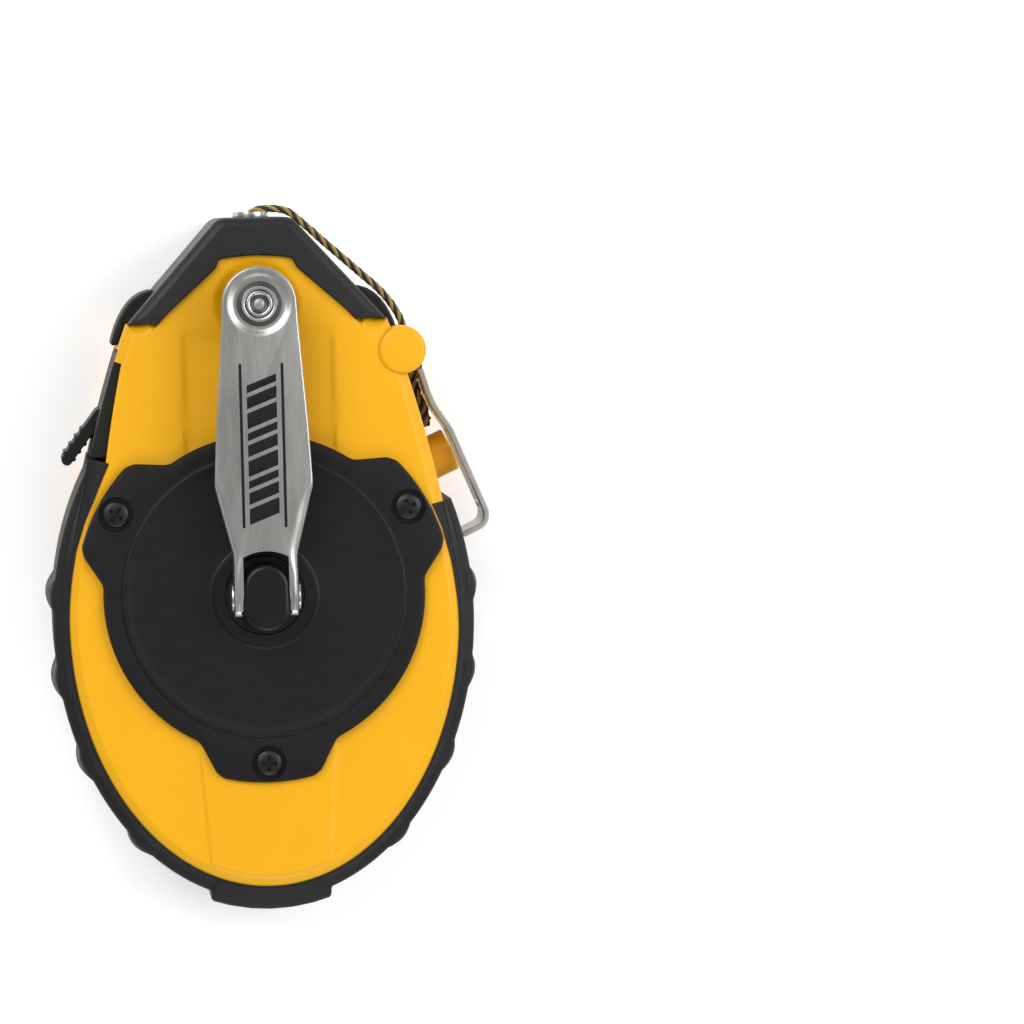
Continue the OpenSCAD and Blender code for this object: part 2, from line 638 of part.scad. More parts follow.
tab_root = [-31.6, 36.4];
tab_end = [-38.4, 27.4];
module chalk_door() color([0.12, 0.12, 0.13]) difference() {
    union() {
        translate([0, 0, door_z[0]]) linear_extrude(door_z[1] - door_z[0]) {
            door_band(door_y[0], door_hinge().y, 0, door_t);
            translate(door_hinge()) circle(door_knuckle_r);
        }
        translate([0, 0, mid_z - 8]) linear_extrude(16) difference() {
            hull() {
                translate(tab_root) circle(1.1);
                translate(tab_end) circle(1.1);
            }
            polygon(grow(case_pts, -0.1));
        }
    }
    hinge_barrel(door_pin_r + fit_gap, [-1, 50]);
}
module door_pin() color([0.7, 0.7, 0.7]) hinge_barrel(door_pin_r, [door_z[0] - 1, door_z[1] + 1]);
module door_seal() color([0.25, 0.25, 0.25]) difference() {
    translate([0, 0, port_z[0] - 2.5]) linear_extrude(port_z[1] - port_z[0] + 5)
        door_band(port_y[0] - 2, port_y[1] + 1.2, -door_t, door_t + seal_t);
    fill_port();
}

// ---------- hook and line ----------

module line_hook() color([0.7, 0.7, 0.7]) translate([0, 0, mid_z]) difference() {
    linear_extrude(hook_w, center = true) {
        inner = beside(hook_edge, hook_t);
        polygon(concat(hook_edge, [for (i = [len(inner) - 1 : -1 : 0]) inner[i]]));
    }
    intersection() {
        translate([0, 0, -post_room_w / 2]) cube([60, 60, post_room_w]);
        difference() {
            translate([hook_pivot.x, hook_pivot.y, -10]) cylinder(r = hook_slot_r[1], h = 20);
            translate([hook_pivot.x, hook_pivot.y, -11]) cylinder(r = hook_slot_r[0], h = 22);
        }
    }
    translate([hook_eye.x, hook_eye.y, 0]) rotate([0, 90, 16.5]) cylinder(r = 1, h = 8, center = true);
}
module line_knot() color([0.5, 0.4, 0.1]) translate([hook_pivot.x, hook_pivot.y, mid_z]) {
    sphere(r = knot_r);
    translate([-0.8, -1, 0]) rotate([0, 0, 45]) cube([2.2, 1.1, 1.3], center = true);
    translate([-1.4, -1.9, -2.1]) cylinder(r = 1.1, h = 4.2);
    for (s = [-1, 1]) sweep([for (p = tail_route) [p.x, p.y, s * tail_gap]], 0.95, 8);
}
module chalk_line() color([0.3, 0.25, 0.08])
    sweep([for (p = line_route) [p.x, p.y, mid_z]], line_d / 2, 8);

front_shell();
rear_shell();
front_bumper();
rear_bumper();
nose_cap_front();
nose_cap_rear();
corner_pads();
line_guide();
felt_wiper();
hook_post();
gear_cover();
cover_bush();
cover_screws();
case_screws();
gear_housing();
ring_gear();
chalk_seal();
spool_shaft();
thrust_washer();
spool();
spool_bush();
sun_gear();
line_winding();
line_lead();
crank_hub();
planet_carrier();
planet_pins();
retaining_clip();
color([0.85, 0.85, 0.82]) planet(planet_angles[0]);  // planet_gear_1
color([0.85, 0.85, 0.82]) planet(planet_angles[1]);  // planet_gear_2
color([0.85, 0.85, 0.82]) planet(planet_angles[2]);  // planet_gear_3
clutch_button();
clutch_pad();
clutch_spring();
crank_arm();
arm_pin();
knob_rivet();
knob_washer();
crank_knob();
chalk_door();
door_pin();
door_seal();
line_hook();
line_knot();
chalk_line();
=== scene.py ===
"""Looks of the chalk line reel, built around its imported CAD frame.

Sizes are in millimetres in the code and become metres when a mesh is made. The reel lies on its
back: +Z is the crank side, +Y the nose and +X the side with the hook.
"""
import math

import bmesh
import bpy
import numpy as np
from mathutils import Matrix, Quaternion, Vector
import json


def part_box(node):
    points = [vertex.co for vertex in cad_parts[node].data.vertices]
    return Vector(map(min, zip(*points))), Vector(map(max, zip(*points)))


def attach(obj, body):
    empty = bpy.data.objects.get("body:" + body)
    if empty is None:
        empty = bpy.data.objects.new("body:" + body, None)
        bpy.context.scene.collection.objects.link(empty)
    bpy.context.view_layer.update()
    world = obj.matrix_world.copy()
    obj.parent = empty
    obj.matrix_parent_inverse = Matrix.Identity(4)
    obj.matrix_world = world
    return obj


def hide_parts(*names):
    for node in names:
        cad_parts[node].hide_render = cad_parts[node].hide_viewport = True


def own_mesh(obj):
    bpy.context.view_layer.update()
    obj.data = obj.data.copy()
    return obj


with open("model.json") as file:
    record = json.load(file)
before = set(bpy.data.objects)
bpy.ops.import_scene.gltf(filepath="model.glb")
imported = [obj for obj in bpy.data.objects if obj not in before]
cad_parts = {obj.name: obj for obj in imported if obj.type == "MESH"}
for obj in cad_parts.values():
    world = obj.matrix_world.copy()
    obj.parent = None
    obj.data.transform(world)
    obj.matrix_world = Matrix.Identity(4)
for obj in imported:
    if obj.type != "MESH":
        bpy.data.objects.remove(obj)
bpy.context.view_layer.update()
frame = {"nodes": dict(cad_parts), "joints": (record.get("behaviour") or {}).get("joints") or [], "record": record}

MM = 0.001


def cad(node):
    """Lowest and highest corner of a CAD node, in millimetres."""
    low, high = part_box(node)
    return Vector(low) / MM, Vector(high) / MM


# ---------- camera ----------

# The frame is 204.8 mm wide at the front face, and the reel stands at its left.
VIEW_WIDTH = 204.8
VIEW_CENTRE = Vector((49.9, 15.1, 41.0))
VIEW_DISTANCE = 1200.0
VIEW_LEAN_X = math.radians(-2.4)
VIEW_LEAN_Y = math.radians(3.4)
VIEW_ROLL = math.radians(-1.4)
SENSOR = 36.0


def make_camera():
    data = bpy.data.cameras.new("camera")
    camera = bpy.data.objects.new("camera", data)
    bpy.context.scene.collection.objects.link(camera)
    reel = Vector((0.0, 7.0, VIEW_CENTRE.z))
    eye = reel + VIEW_DISTANCE * Vector((math.tan(VIEW_LEAN_X), math.tan(VIEW_LEAN_Y), 1.0))
    gaze = VIEW_CENTRE - eye
    forward = gaze.normalized()
    right = forward.cross(Vector((0, 1, 0))).normalized()
    turn = Matrix((right, right.cross(forward), -forward)).transposed().to_quaternion()
    camera.rotation_mode = "QUATERNION"
    camera.rotation_quaternion = turn @ Quaternion((0, 0, 1), VIEW_ROLL)
    camera.location = eye * MM
    data.sensor_width = SENSOR
    data.lens = SENSOR * gaze.length / VIEW_WIDTH
    data.clip_start = 0.05
    data.clip_end = 10
    bpy.context.scene.camera = camera


make_camera()

# ---------- materials ----------


def node_material(name, colour, roughness, metallic=0.0):
    """A new material with its Principled node; gives (material, tree, principled, object coordinates)."""
    m = bpy.data.materials.new(name)
    m.use_nodes = True
    tree = m.node_tree
    shader = tree.nodes["Principled BSDF"]
    shader.inputs["Base Color"].default_value = (*colour, 1)
    shader.inputs["Roughness"].default_value = roughness
    shader.inputs["Metallic"].default_value = metallic
    coords = tree.nodes.new("ShaderNodeTexCoord")
    return m, tree, shader, coords.outputs["Object"]


def mapped(tree, coords, scale):
    node = tree.nodes.new("ShaderNodeMapping")
    node.inputs["Scale"].default_value = scale
    tree.links.new(coords, node.inputs["Vector"])
    return node.outputs["Vector"]


def noise(tree, coords, scale, detail=3.0, rough=0.6):
    """Noise with features about 1/scale metres across."""
    node = tree.nodes.new("ShaderNodeTexNoise")
    node.inputs["Scale"].default_value = scale
    node.inputs["Detail"].default_value = detail
    node.inputs["Roughness"].default_value = rough
    tree.links.new(coords, node.inputs["Vector"])
    return node.outputs["Fac"]


def remap(tree, value, low, high, to_low, to_high):
    node = tree.nodes.new("ShaderNodeMapRange")
    node.inputs["From Min"].default_value = low
    node.inputs["From Max"].default_value = high
    node.inputs["To Min"].default_value = to_low
    node.inputs["To Max"].default_value = to_high
    tree.links.new(value, node.inputs["Value"])
    return node.outputs["Result"]


def mixed(tree, factor, a, b):
    """Colour a where factor is 0 and b where it is 1."""
    node = tree.nodes.new("ShaderNodeMix")
    node.data_type = "RGBA"
    tree.links.new(factor, node.inputs["Factor"])
    for socket, colour in ((node.inputs["A"], a), (node.inputs["B"], b)):
        if isinstance(colour, tuple):
            socket.default_value = (*colour, 1)
        else:
            tree.links.new(colour, socket)
    return node.outputs["Result"]


def bump(tree, shader, height, depth_mm, below=None, strength=1.0):
    node = tree.nodes.new("ShaderNodeBump")
    node.inputs["Distance"].default_value = depth_mm * MM
    node.inputs["Strength"].default_value = strength
    tree.links.new(height, node.inputs["Height"])
    if below is not None:
        tree.links.new(below, node.inputs["Normal"])
    tree.links.new(node.outputs["Normal"], shader.inputs["Normal"])
    return node.outputs["Normal"]


def moulded(name, colour, roughness, grain_mm, grain_depth, mottle=0.06, spread=0.1, specular=0.5):
    """Moulded plastic or rubber: a spark-eroded grain, faint mottling and uneven gloss."""
    m, tree, shader, coords = node_material(name, colour, roughness)
    shader.inputs["Specular IOR Level"].default_value = specular
    slow = noise(tree, coords, 55, 4)
    deep = tuple(c * (1 - mottle) for c in colour)
    light = tuple(min(1, c * (1 + mottle)) for c in colour)
    colours = mixed(tree, remap(tree, slow, 0.3, 0.7, 0, 1), deep, light)
    tree.links.new(colours, shader.inputs["Base Color"])
    gloss = noise(tree, mapped(tree, coords, (1, 1.6, 1)), 240, 5)
    tree.links.new(remap(tree, gloss, 0.3, 0.7, roughness - spread / 2, roughness + spread / 2),
                   shader.inputs["Roughness"])
    grain = noise(tree, coords, 1 / (grain_mm * MM), 2, 0.55)
    bump(tree, shader, grain, grain_depth)
    return m


def steel(name, colour, roughness, brush=(900, 30, 900), depth=0.012, blotch_and_reflection=0.12, spread=0.14,
          bands=(2.4, 0.5, 2.4)):
    """Steel with fine rolling lines along one axis, small dings, and faint blotches stretched into bands that are
    partly real tone and partly painted reflection.
    """
    m, tree, shader, coords = node_material(name, colour, roughness, 1.0)
    lines = noise(tree, mapped(tree, coords, brush), 6, 6, 0.7)
    # blotches stretched along Y into bands: partly real tone variation, partly painted reflection streaks
    blotch_and_reflection_noise = noise(tree, mapped(tree, coords, bands), 60, 5, 0.6)
    dark = tuple(c * (1 - blotch_and_reflection) for c in colour)
    light = tuple(min(1, c * (1 + blotch_and_reflection)) for c in colour)
    colours = mixed(tree, remap(tree, blotch_and_reflection_noise, 0.32, 0.68, 0, 1), dark, light)
    tree.links.new(colours, shader.inputs["Base Color"])
    tree.links.new(remap(tree, lines, 0.25, 0.75, roughness - spread / 2, roughness + spread / 2),
                   shader.inputs["Roughness"])
    first = bump(tree, shader, lines, depth)
    bump(tree, shader, noise(tree, coords, 520, 3), depth * 1.2, below=first)
    return m


def yarn(name, colour, sheen):
    """Twisted polyester yarn: fibres that run along the strand."""
    m, tree, shader, coords = node_material(name, colour, 0.55)
    shader.inputs["Sheen Weight"].default_value = sheen
    fibres = noise(tree, coords, 4200, 3, 0.7)
    deep = tuple(c * 0.45 for c in colour)
    colours = mixed(tree, remap(tree, fibres, 0.35, 0.65, 0, 1), deep, colour)
    tree.links.new(colours, shader.inputs["Base Color"])
    bump(tree, shader, fibres, 0.12)
    return m


def felt_material():
    m, tree, shader, coords = node_material("felt", (0.55, 0.53, 0.47), 0.95)
    shader.inputs["Sheen Weight"].default_value = 0.4
    wool = noise(tree, coords, 1500, 5, 0.75)
    tree.links.new(mixed(tree, wool, (0.38, 0.36, 0.31), (0.68, 0.66, 0.6)), shader.inputs["Base Color"])
    bump(tree, shader, wool, 0.4)
    return m


YELLOW = moulded("yellow_abs", (0.765, 0.378, 0.0035), 0.4, 0.35, 0.006, mottle=0.02, spread=0.08,
                 specular=0.3)
RUBBER = moulded("black_rubber", (0.0065, 0.0065, 0.0068), 0.55, 0.3, 0.02, mottle=0.18, specular=0.3)
NOSE = moulded("black_nose", (0.0068, 0.0068, 0.0082), 0.46, 0.42, 0.09, mottle=0.14, specular=0.38)
COVER = moulded("black_cover", (0.0042, 0.0042, 0.0045), 0.45, 0.16, 0.012, mottle=0.12, specular=0.27)
DARK = moulded("black_gloss", (0.004, 0.004, 0.0042), 0.33, 0.4, 0.004, mottle=0.1, specular=0.3)
PRINT = moulded("black_print", (0.004, 0.004, 0.004), 0.45, 0.2, 0.003, mottle=0.2, specular=0.25)
ACETAL = moulded("white_acetal", (0.78, 0.77, 0.72), 0.4, 0.5, 0.005, mottle=0.03)
BRASS = steel("brass", (0.72, 0.5, 0.2), 0.32)
# the crank's stronger blotch bands are painted reflection streaks along the arm, over its real tone variation
CRANK = steel("crank_steel", (0.43, 0.425, 0.41), 0.33, blotch_and_reflection=0.22)
BRIGHT = steel("bright_steel", (0.55, 0.55, 0.54), 0.26, depth=0.006, blotch_and_reflection=0.05, spread=0.1)
ZINC = steel("zinc_hook", (0.5, 0.5, 0.495), 0.36, brush=(120, 120, 900), depth=0.01, blotch_and_reflection=0.08)
# a dark steel that paints shade and dark reflection into the rivet's stepped rings
PAINTED_SHADE_STEEL = steel("painted_shade_steel", (0.1, 0.098, 0.094), 0.42, blotch_and_reflection=0.2)
OXIDE = steel("black_oxide", (0.035, 0.035, 0.036), 0.42, blotch_and_reflection=0.2)
GOLD_YARN = yarn("gold_yarn", (0.5, 0.33, 0.07), 0.2)
BLACK_YARN = yarn("black_yarn", (0.012, 0.011, 0.01), 0.15)
FELT = felt_material()

SLOT_MATERIAL = {
    "shell_plastic": YELLOW, "bumper_rubber": RUBBER, "nose_plastic": NOSE, "cover_plastic": COVER,
    "crank_steel": CRANK, "bright_steel": BRIGHT, "hook_steel": ZINC, "screw_steel": OXIDE,
    "hub_metal": DARK, "gear_plastic": ACETAL, "spool_plastic": COVER, "bush_brass": BRASS,
    "knob_plastic": DARK, "button_plastic": DARK, "felt": FELT, "line_braid": BLACK_YARN,
    "door_plastic": RUBBER,
}
SLOT_OF = {s["node"]: s["material_slot"] for s in frame["record"]["subparts"]}

# ---------- mesh helpers ----------


def piece(name, points, faces, body, slot, stands_for=(), materials=(), smooth=35, indices=None):
    """A mesh piece from points in millimetres that rides on a body and may replace CAD nodes."""
    mesh = bpy.data.meshes.new(name)
    mesh.from_pydata([Vector(p) * MM for p in points], [], faces)
    mesh.validate()
    bm = bmesh.new()
    bm.from_mesh(mesh)
    bmesh.ops.recalc_face_normals(bm, faces=bm.faces)
    bm.to_mesh(mesh)
    bm.free()
    for m in materials or (SLOT_MATERIAL[slot],):
        mesh.materials.append(m)
    if indices is not None:
        mesh.polygons.foreach_set("material_index", indices)
    shade(mesh, smooth)
    obj = bpy.data.objects.new(name, mesh)
    bpy.context.scene.collection.objects.link(obj)
    if body:
        settle(obj, body, stands_for)
    return obj


def settle(obj, body, stands_for=()):
    if stands_for:
        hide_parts(*stands_for)
    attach(obj, body)


def shade(mesh, smooth=35):
    mesh.polygons.foreach_set("use_smooth", [True] * len(mesh.polygons))
    mesh.set_sharp_from_angle(angle=math.radians(smooth))


def grid_faces(rows, columns, wrap_rows=False, wrap_columns=True):
    """Quads of a grid of points, stored row by row."""
    faces = []
    for i in range(rows if wrap_rows else rows - 1):
        j = (i + 1) % rows
        for k in range(columns if wrap_columns else columns - 1):
            n = (k + 1) % columns
            faces.append((i * columns + k, i * columns + n, j * columns + n, j * columns + k))
    return faces


def loft(rings, wrap=False, caps=True):
    """(points, faces) of closed rings of equal length; wrap joins the last ring to the first."""
    columns = len(rings[0])
    points = [p for ring in rings for p in ring]
    faces = grid_faces(len(rings), columns, wrap_rows=wrap)
    if caps and not wrap:
        faces.append(tuple(range(columns))[::-1])
        faces.append(tuple(range(len(points) - columns, len(points))))
    return points, faces


def lathe(profile, centre, steps=96):
    """(points, faces) of a solid turned about Z; the profile is (radius, z) from axis to axis."""
    rings = []
    for r, z in profile:
        r = max(r, 0.001)
        rings.append([(centre[0] + r * math.cos(a), centre[1] + r * math.sin(a), z)
                      for a in (math.tau * k / steps for k in range(steps))])
    return loft(rings)


def modified(obj, kind, **settings):
    """Adds a modifier and bakes its result into the object's mesh."""
    modifier = obj.modifiers.new(kind.lower(), kind)
    for key, value in settings.items():
        setattr(modifier, key, value)
    graph = bpy.context.evaluated_depsgraph_get()
    mesh = bpy.data.meshes.new_from_object(obj.evaluated_get(graph))
    obj.modifiers.clear()
    old = obj.data
    obj.data = mesh
    mesh.name = old.name
    return obj


def carve(obj, tools, operation="DIFFERENCE", smooth=35):
    for tool in tools:
        modified(obj, "BOOLEAN", object=tool, operation=operation, solver="EXACT")
        bpy.data.objects.remove(tool)
    shade(obj.data, smooth)
    return obj


def tool_rod(centre, radius, low, high, axis="Z", steps=64):
    """A plain cylinder to cut with; axis is Z, or Y with low and high along it."""
    points, faces = lathe([(0, low), (radius, low), (radius, high), (0, high)], (0, 0), steps)
    if axis == "Z":
        points = [(x + centre[0], y + centre[1], z) for x, y, z in points]
    else:
        points = [(x + centre[0], z, -y + centre[1]) for x, y, z in points]
    return piece("tool", points, faces, None, "shell_plastic")


def tool_prism(outline, low, high):
    points, faces = loft([[(x, y, low) for x, y in outline], [(x, y, high) for x, y in outline]])
    return piece("tool", points, faces, None, "shell_plastic")


def smoothstep(low, high, value):
    t = min(1.0, max(0.0, (value - low) / (high - low)))
    return t * t * (3 - 2 * t)


# ---------- outlines, as in the CAD ----------

HALF_W, LOWER_H, WIDEST_Y = 39.3, 54.0, -5.0
FLANK_END, NOSE_FOOT, NOSE_TOP = (26, 54.5), (23.28, 54.5), (6.4, 73.2)
BUMPER_T, BUMPER_UPPER_H = 2.9, 53.7
CASE_TOP = cad("front_shell")[1].z - 0.7
SPLIT = cad("front_shell")[0].z
CAP_TOP = cad("nose_cap_front")[1].z


def bezier(a, b, c, d, t):
    weights = ((1 - t) ** 3, 3 * (1 - t) ** 2 * t, 3 * (1 - t) * t * t, t ** 3)
    return tuple(sum(w * p[k] for w, p in zip(weights, (a, b, c, d))) for k in range(2))


def flank(t):
    return bezier((HALF_W, WIDEST_Y), (HALF_W, 8), (32.5, 38), FLANK_END, t)


def between(a, b, n):
    return [(a[0] + (b[0] - a[0]) * i / n, a[1] + (b[1] - a[1]) * i / n) for i in range(1, n + 1)]


def mirrored(points):
    return [(-x, y) for x, y in reversed(points)]


def case_outline(n_low=150, n_flank=80):
    half = [(HALF_W * math.cos(a), WIDEST_Y + LOWER_H * math.sin(a))
            for a in (-math.pi / 2 + math.pi / 2 * i / n_low for i in range(n_low + 1))]
    half += [flank(i / n_flank) for i in range(1, n_flank + 1)]
    half += between(FLANK_END, NOSE_FOOT, 3) + between(NOSE_FOOT, NOSE_TOP, 30)
    half += between(NOSE_TOP, (0, NOSE_TOP[1]), 8)[:-1]
    return half + [(0, NOSE_TOP[1])] + mirrored(half)[:-1]


def right_of(a, b):
    """Unit vector to the right of the way from a to b: outward on an anticlockwise outline."""
    u = (Vector(b) - Vector(a)).normalized()
    return Vector((u.y, -u.x))


def grown(points, d):
    """Mitred offset of a closed anticlockwise outline, with the folds that sharp corners make cut off."""
    result = mitred(points, d)
    if d > -0.3:
        return result
    corners = np.array(points)
    ahead = np.roll(corners, -1, axis=0) - corners
    moved_points = np.array(result)
    away = moved_points[:, None, :] - corners[None, :, :]
    along = np.clip((away * ahead).sum(-1) / (ahead ** 2).sum(-1), 0, 1)
    distance = np.linalg.norm(away - along[..., None] * ahead, axis=-1).min(1)
    good = [i for i in range(len(result)) if distance[i] > -d * 0.985]
    for a, b in zip(good, good[1:]):
        for i in range(a + 1, b):
            t = (i - a) / (b - a)
            result[i] = tuple(result[a][k] + (result[b][k] - result[a][k]) * t for k in range(2))
    return result


def mitred(points, d):
    result = []
    n = len(points)
    for i, p in enumerate(points):
        before, after = right_of(points[i - 1], p), right_of(p, points[(i + 1) % n])
        q = Vector(p) + d * (before + after) / (1 + before.dot(after))
        result.append((q.x, q.y))
    return result


def at(outline, z):
    return [(x, y, z) for x, y in outline]


CASE = case_outline()
EDGE_PROFILE = ((2.3, 0.0), (2.05, 0.05), (1.85, 0.16), (0.4, 1.25), (0.14, 1.5), (0.02, 1.85), (0.0, 2.1))
WALL, FACE_WALL = 2.2, 2.4
SEAM = 0.25  # edge break where the two shells meet
HOLE_R = 27.0
CAP_WINDOW = ((19.9, 54.5), (7.9, 65.3), (7.3, 67.0))
KNOB = (0.0, 58.2)


def in_window(x, y):
    """Whether a point of the front face shows inside the nose cap's window."""
    x = abs(x)
    (x0, y0), (x1, y1), (x2, y2) = CAP_WINDOW
    if y < y0:
        return True
    if y > y2 + 0.7:
        return False
    return x < (x0 + (x1 - x0) * (y - y0) / (y1 - y0) if y < y1 else x1)


def face_relief(x, y):
    """Height of the front face above its own plane."""
    if not in_window(x * 0.96, y - 0.8):
        return -1.4
    z = -1.1 * (1 - smoothstep(6.6, 8.8, math.hypot(x - KNOB[0], y - KNOB[1])))
    channel = 1 - smoothstep(14.2, 15.6, abs(x))
    z -= 0.6 * channel * smoothstep(24, 33, y) * (1 - smoothstep(50, 54, y))
    crease = 13.5 - 1.8 * (-34 - y) / 23
    if y < -30:
        z += 0.42 * (1 - smoothstep(crease - 0.3, crease + 0.3, abs(x)))
    return z


def make_front_shell():
    face_rings = 56
    rim = grown(CASE, -EDGE_PROFILE[0][0])
    hole = [(HOLE_R * math.cos(math.atan2(y, x)), HOLE_R * math.sin(math.atan2(y, x))) for x, y in rim]
    rings = [at(hole, CASE_TOP - FACE_WALL)]
    for k in range(face_rings):
        t = k / face_rings
        ring = []
        for (hx, hy), (rx, ry) in zip(hole, rim):
            x, y = hx + (rx - hx) * t, hy + (ry - hy) * t
            ring.append((x, y, CASE_TOP + face_relief(x, y)))
        rings.append(ring)
    for inset, drop in EDGE_PROFILE:
        ring = []
        for x, y in grown(CASE, -inset):
            hidden = 1.4 if y > FLANK_END[1] - 0.3 else 0.0
            ring.append((x, y, min(CASE_TOP - drop, CASE_TOP - hidden)))
        rings.append(ring)
    inner = grown(CASE, -WALL)
    rings += [at(CASE, SPLIT + SEAM), at(grown(CASE, -SEAM), SPLIT), at(inner, SPLIT)]
    rings.append(at(inner, CASE_TOP - FACE_WALL))
    return piece("front_shell_body", *loft(rings, wrap=True), None, "shell_plastic")


def flank_at(y):
    """The curve parameter where the flank reaches this height."""
    low, high = 0.0, 1.0
    for _ in range(40):
        middle = (low + high) / 2
        low, high = (middle, high) if flank(middle)[1] < y else (low, middle)
    return low


def door_band(low, high, out, depth, n=24, top_depth=None):
    """Outline of a band along the left flank, from out beyond the case edge to depth inside it at
    its low end and top_depth at its high end."""
    fall = 0 if top_depth is None else (depth - top_depth) / n
    start, end = flank_at(low), flank_at(high)
    ts = [start + (end - start) * i / n for i in range(n + 1)]

    def moved(t, d):
        p = Vector(flank(t)) + d * right_of(flank(max(0, t - 0.01)), flank(min(1, t + 0.01)))
        return (-p.x, p.y)

    inner = [moved(t, fall * i - depth) for i, t in enumerate(ts)]
    return [moved(t, out) for t in ts] + inner[::-1]


DOOR_Y, DOOR_T, SEAL_T, DOOR_Z, DOOR_SWING_Y = (28.2, 48.2), 3.0, 0.7, (2.4, 38.0), 49.5
DOOR_SHOWN_Y = 47.2
DOOR_GAP = 0.3
GUIDE_R = 2.9
PORT_Y, PORT_Z = (32.0, 44.5), (9.0, 31.0)
DOOR_PIVOT = next(Vector(j["pos_m"]) / MM for j in frame["joints"] if j["name"] == "door_open")
POST_FROM, POST_TO, POST_R = Vector((31.5, 23.7)), Vector((39.4, 27.3)), 4.4
SCREW_POSTS = [(28.5, -30), (-28.5, -30), (0, -53.6), (17, 50.6), (-17, 50.6)]

# ---------- the line: the one free cord, built first ----------------------

MID_Z = SPLIT
LINE_ROUTE = [(-1.3, 72.6), (-1.1, 74), (-0.5, 75.3), (0.4, 76.2), (1.6, 76.7), (3.2, 76.9), (5.2, 76.8),
              (7.1, 76.4), (8.5, 75.6), (10.2, 74.1), (12, 72.5), (14, 70.6), (16, 68.8), (18, 67),
              (20, 65.2),
              (22, 63.4), (23.8, 61.8), (25.5, 60.2), (27, 58.5), (28.2, 56.9), (29.2, 55.3), (30, 53.6),
              (30.5, 51.8), (30.9, 50), (31.3, 48.4), (31.8, 47.3), (32.35, 46.45)]


def smooth_path(points, step):
    """Catmull-Rom curve through the points, resampled at an even step."""
    pts = [Vector(p) for p in points]
    fine = []
    for i in range(len(pts) - 1):
        a, b = pts[max(0, i - 1)], pts[i]
        c, d = pts[i + 1], pts[min(len(pts) - 1, i + 2)]
        for k in range(16):
            t = k / 16
            fine.append(0.5 * (2 * b + (c - a) * t + (2 * a - 5 * b + 4 * c - d) * t * t
                               + (3 * b - a - 3 * c + d) * t * t * t))
    fine.append(pts[-1])
    path, left = [fine[0]], step
    for a, b in zip(fine, fine[1:]):
        run = (b - a).length
        while run >= left:
            a = a + (b - a).normalized() * left
            path.append(a)
            run -= left
            left = step
        left -= run
    path.append(fine[-1])
    return path


def twisted(path, radius, strands, pitch, strand_r, sides=7):
    """(points, faces, strand of each face): strands wound in a helix round a path."""
    points, faces, owner = [], [], []
    last = len(path) - 1
    tangents = [(path[min(last, i + 1)] - path[max(0, i - 1)]).normalized() for i in range(last + 1)]
    normal = tangents[0].orthogonal().normalized()
    frames, travel = [], 0.0
    for i, t in enumerate(tangents):
        if i:
            normal = (normal - normal.dot(t) * t).normalized()
            travel += (path[i] - path[i - 1]).length
        frames.append((path[i], normal.copy(), t.cross(normal).normalized(), travel))
    for s in range(strands):
        middle = []
        for p, n, b, travel in frames:
            a = math.tau * (s / strands + travel / pitch)
            middle.append(p + radius * (math.cos(a) * n + math.sin(a) * b))
        base = len(points)
        for i, c in enumerate(middle):
            t = (middle[min(last, i + 1)] - middle[max(0, i - 1)]).normalized()
            n = (frames[i][1] - frames[i][1].dot(t) * t).normalized()
            b = t.cross(n)
            for k in range(sides):
                a = math.tau * k / sides
                points.append(c + strand_r * (math.cos(a) * n + math.sin(a) * b))
        ring = grid_faces(len(middle), sides)
        ends = [tuple(range(sides))[::-1], tuple(range(last * sides, (last + 1) * sides))]
        faces += [tuple(v + base for v in f) for f in ring + ends]
        owner += [s] * (len(ring) + 2)
    return points, faces, owner


def strand_colours(owner):
    """Material index of each face: every second strand is gold."""
    return [s % 2 for s in owner]


def make_line():
    path = smooth_path([(x, y, MID_Z) for x, y in LINE_ROUTE], 0.35)
    points, faces, owner = twisted(path, 0.38, 4, 6.2, 0.42)
    line = piece("chalk_line_braid", points, faces, "case", "line_braid", ["chalk_line"],
                 (GOLD_YARN, BLACK_YARN), 60, strand_colours(owner))
    length = sum((b - a).length for a, b in zip(path, path[1:]))
    return line, path, length


LINE, LINE_PATH, LINE_LENGTH = make_line()

# ---------- shells ----------


def cut_openings(shell):
    """The room for the door, its swing and its barrel, the guide's hole and the post's seat."""
    room = DOOR_T + SEAL_T + 0.15
    low, high = DOOR_Z[0] - 0.2, DOOR_Z[1] + 0.2
    tools = [
        tool_prism(door_band(DOOR_Y[0] - DOOR_GAP, DOOR_Y[1], 1.0, room), low, high),
        tool_prism(door_band(DOOR_PIVOT.y, DOOR_SWING_Y, 1.0, 1.6, 6), low, high),
        tool_rod(DOOR_PIVOT.xy, 1.65, low, high),
        tool_rod((0, MID_Z), GUIDE_R, 60, 90, "Y"),
    ]
    post = tool_rod((0, 0), POST_R, 0, (POST_TO - POST_FROM).length)
    turn_post(post)
    tools.append(post)
    return carve(shell, tools)


def turn_post(obj):
    along = (POST_TO - POST_FROM).to_3d().normalized()
    place = Matrix.Translation(Vector((POST_FROM.x, POST_FROM.y, MID_Z)) * MM)
    obj.data.transform(place @ along.to_track_quat("Z", "Y").to_matrix().to_4x4())


def make_port_frame(name, low, high):
    """Half of the wall behind the door, with its half of the fill port through it."""
    outline = door_band(DOOR_Y[0] - 2, DOOR_SWING_Y + 0.5, -3.95, 5.8)
    wall_piece = piece(name, *loft([at(outline, low), at(outline, high)]), None, "shell_plastic")
    port = tool_prism([(-50, PORT_Y[0]), (0, PORT_Y[0]), (0, PORT_Y[1]), (-50, PORT_Y[1])],
                      max(PORT_Z[0], low - 5), min(PORT_Z[1], high + 5))
    carve(wall_piece, [port])
    settle(wall_piece, "case")


def keeper_disc():
    low, high = 30.6, cad("front_shell")[1].z
    profile = [(0, low), (4.5, low), (4.8, low + 0.3), (4.8, high - 0.8), (4.65, high - 0.4),
               (4.3, high - 0.12), (3.8, high), (0, high)]
    return piece("keeper", *lathe(profile, (28.8, 48.1), 72), None, "shell_plastic")


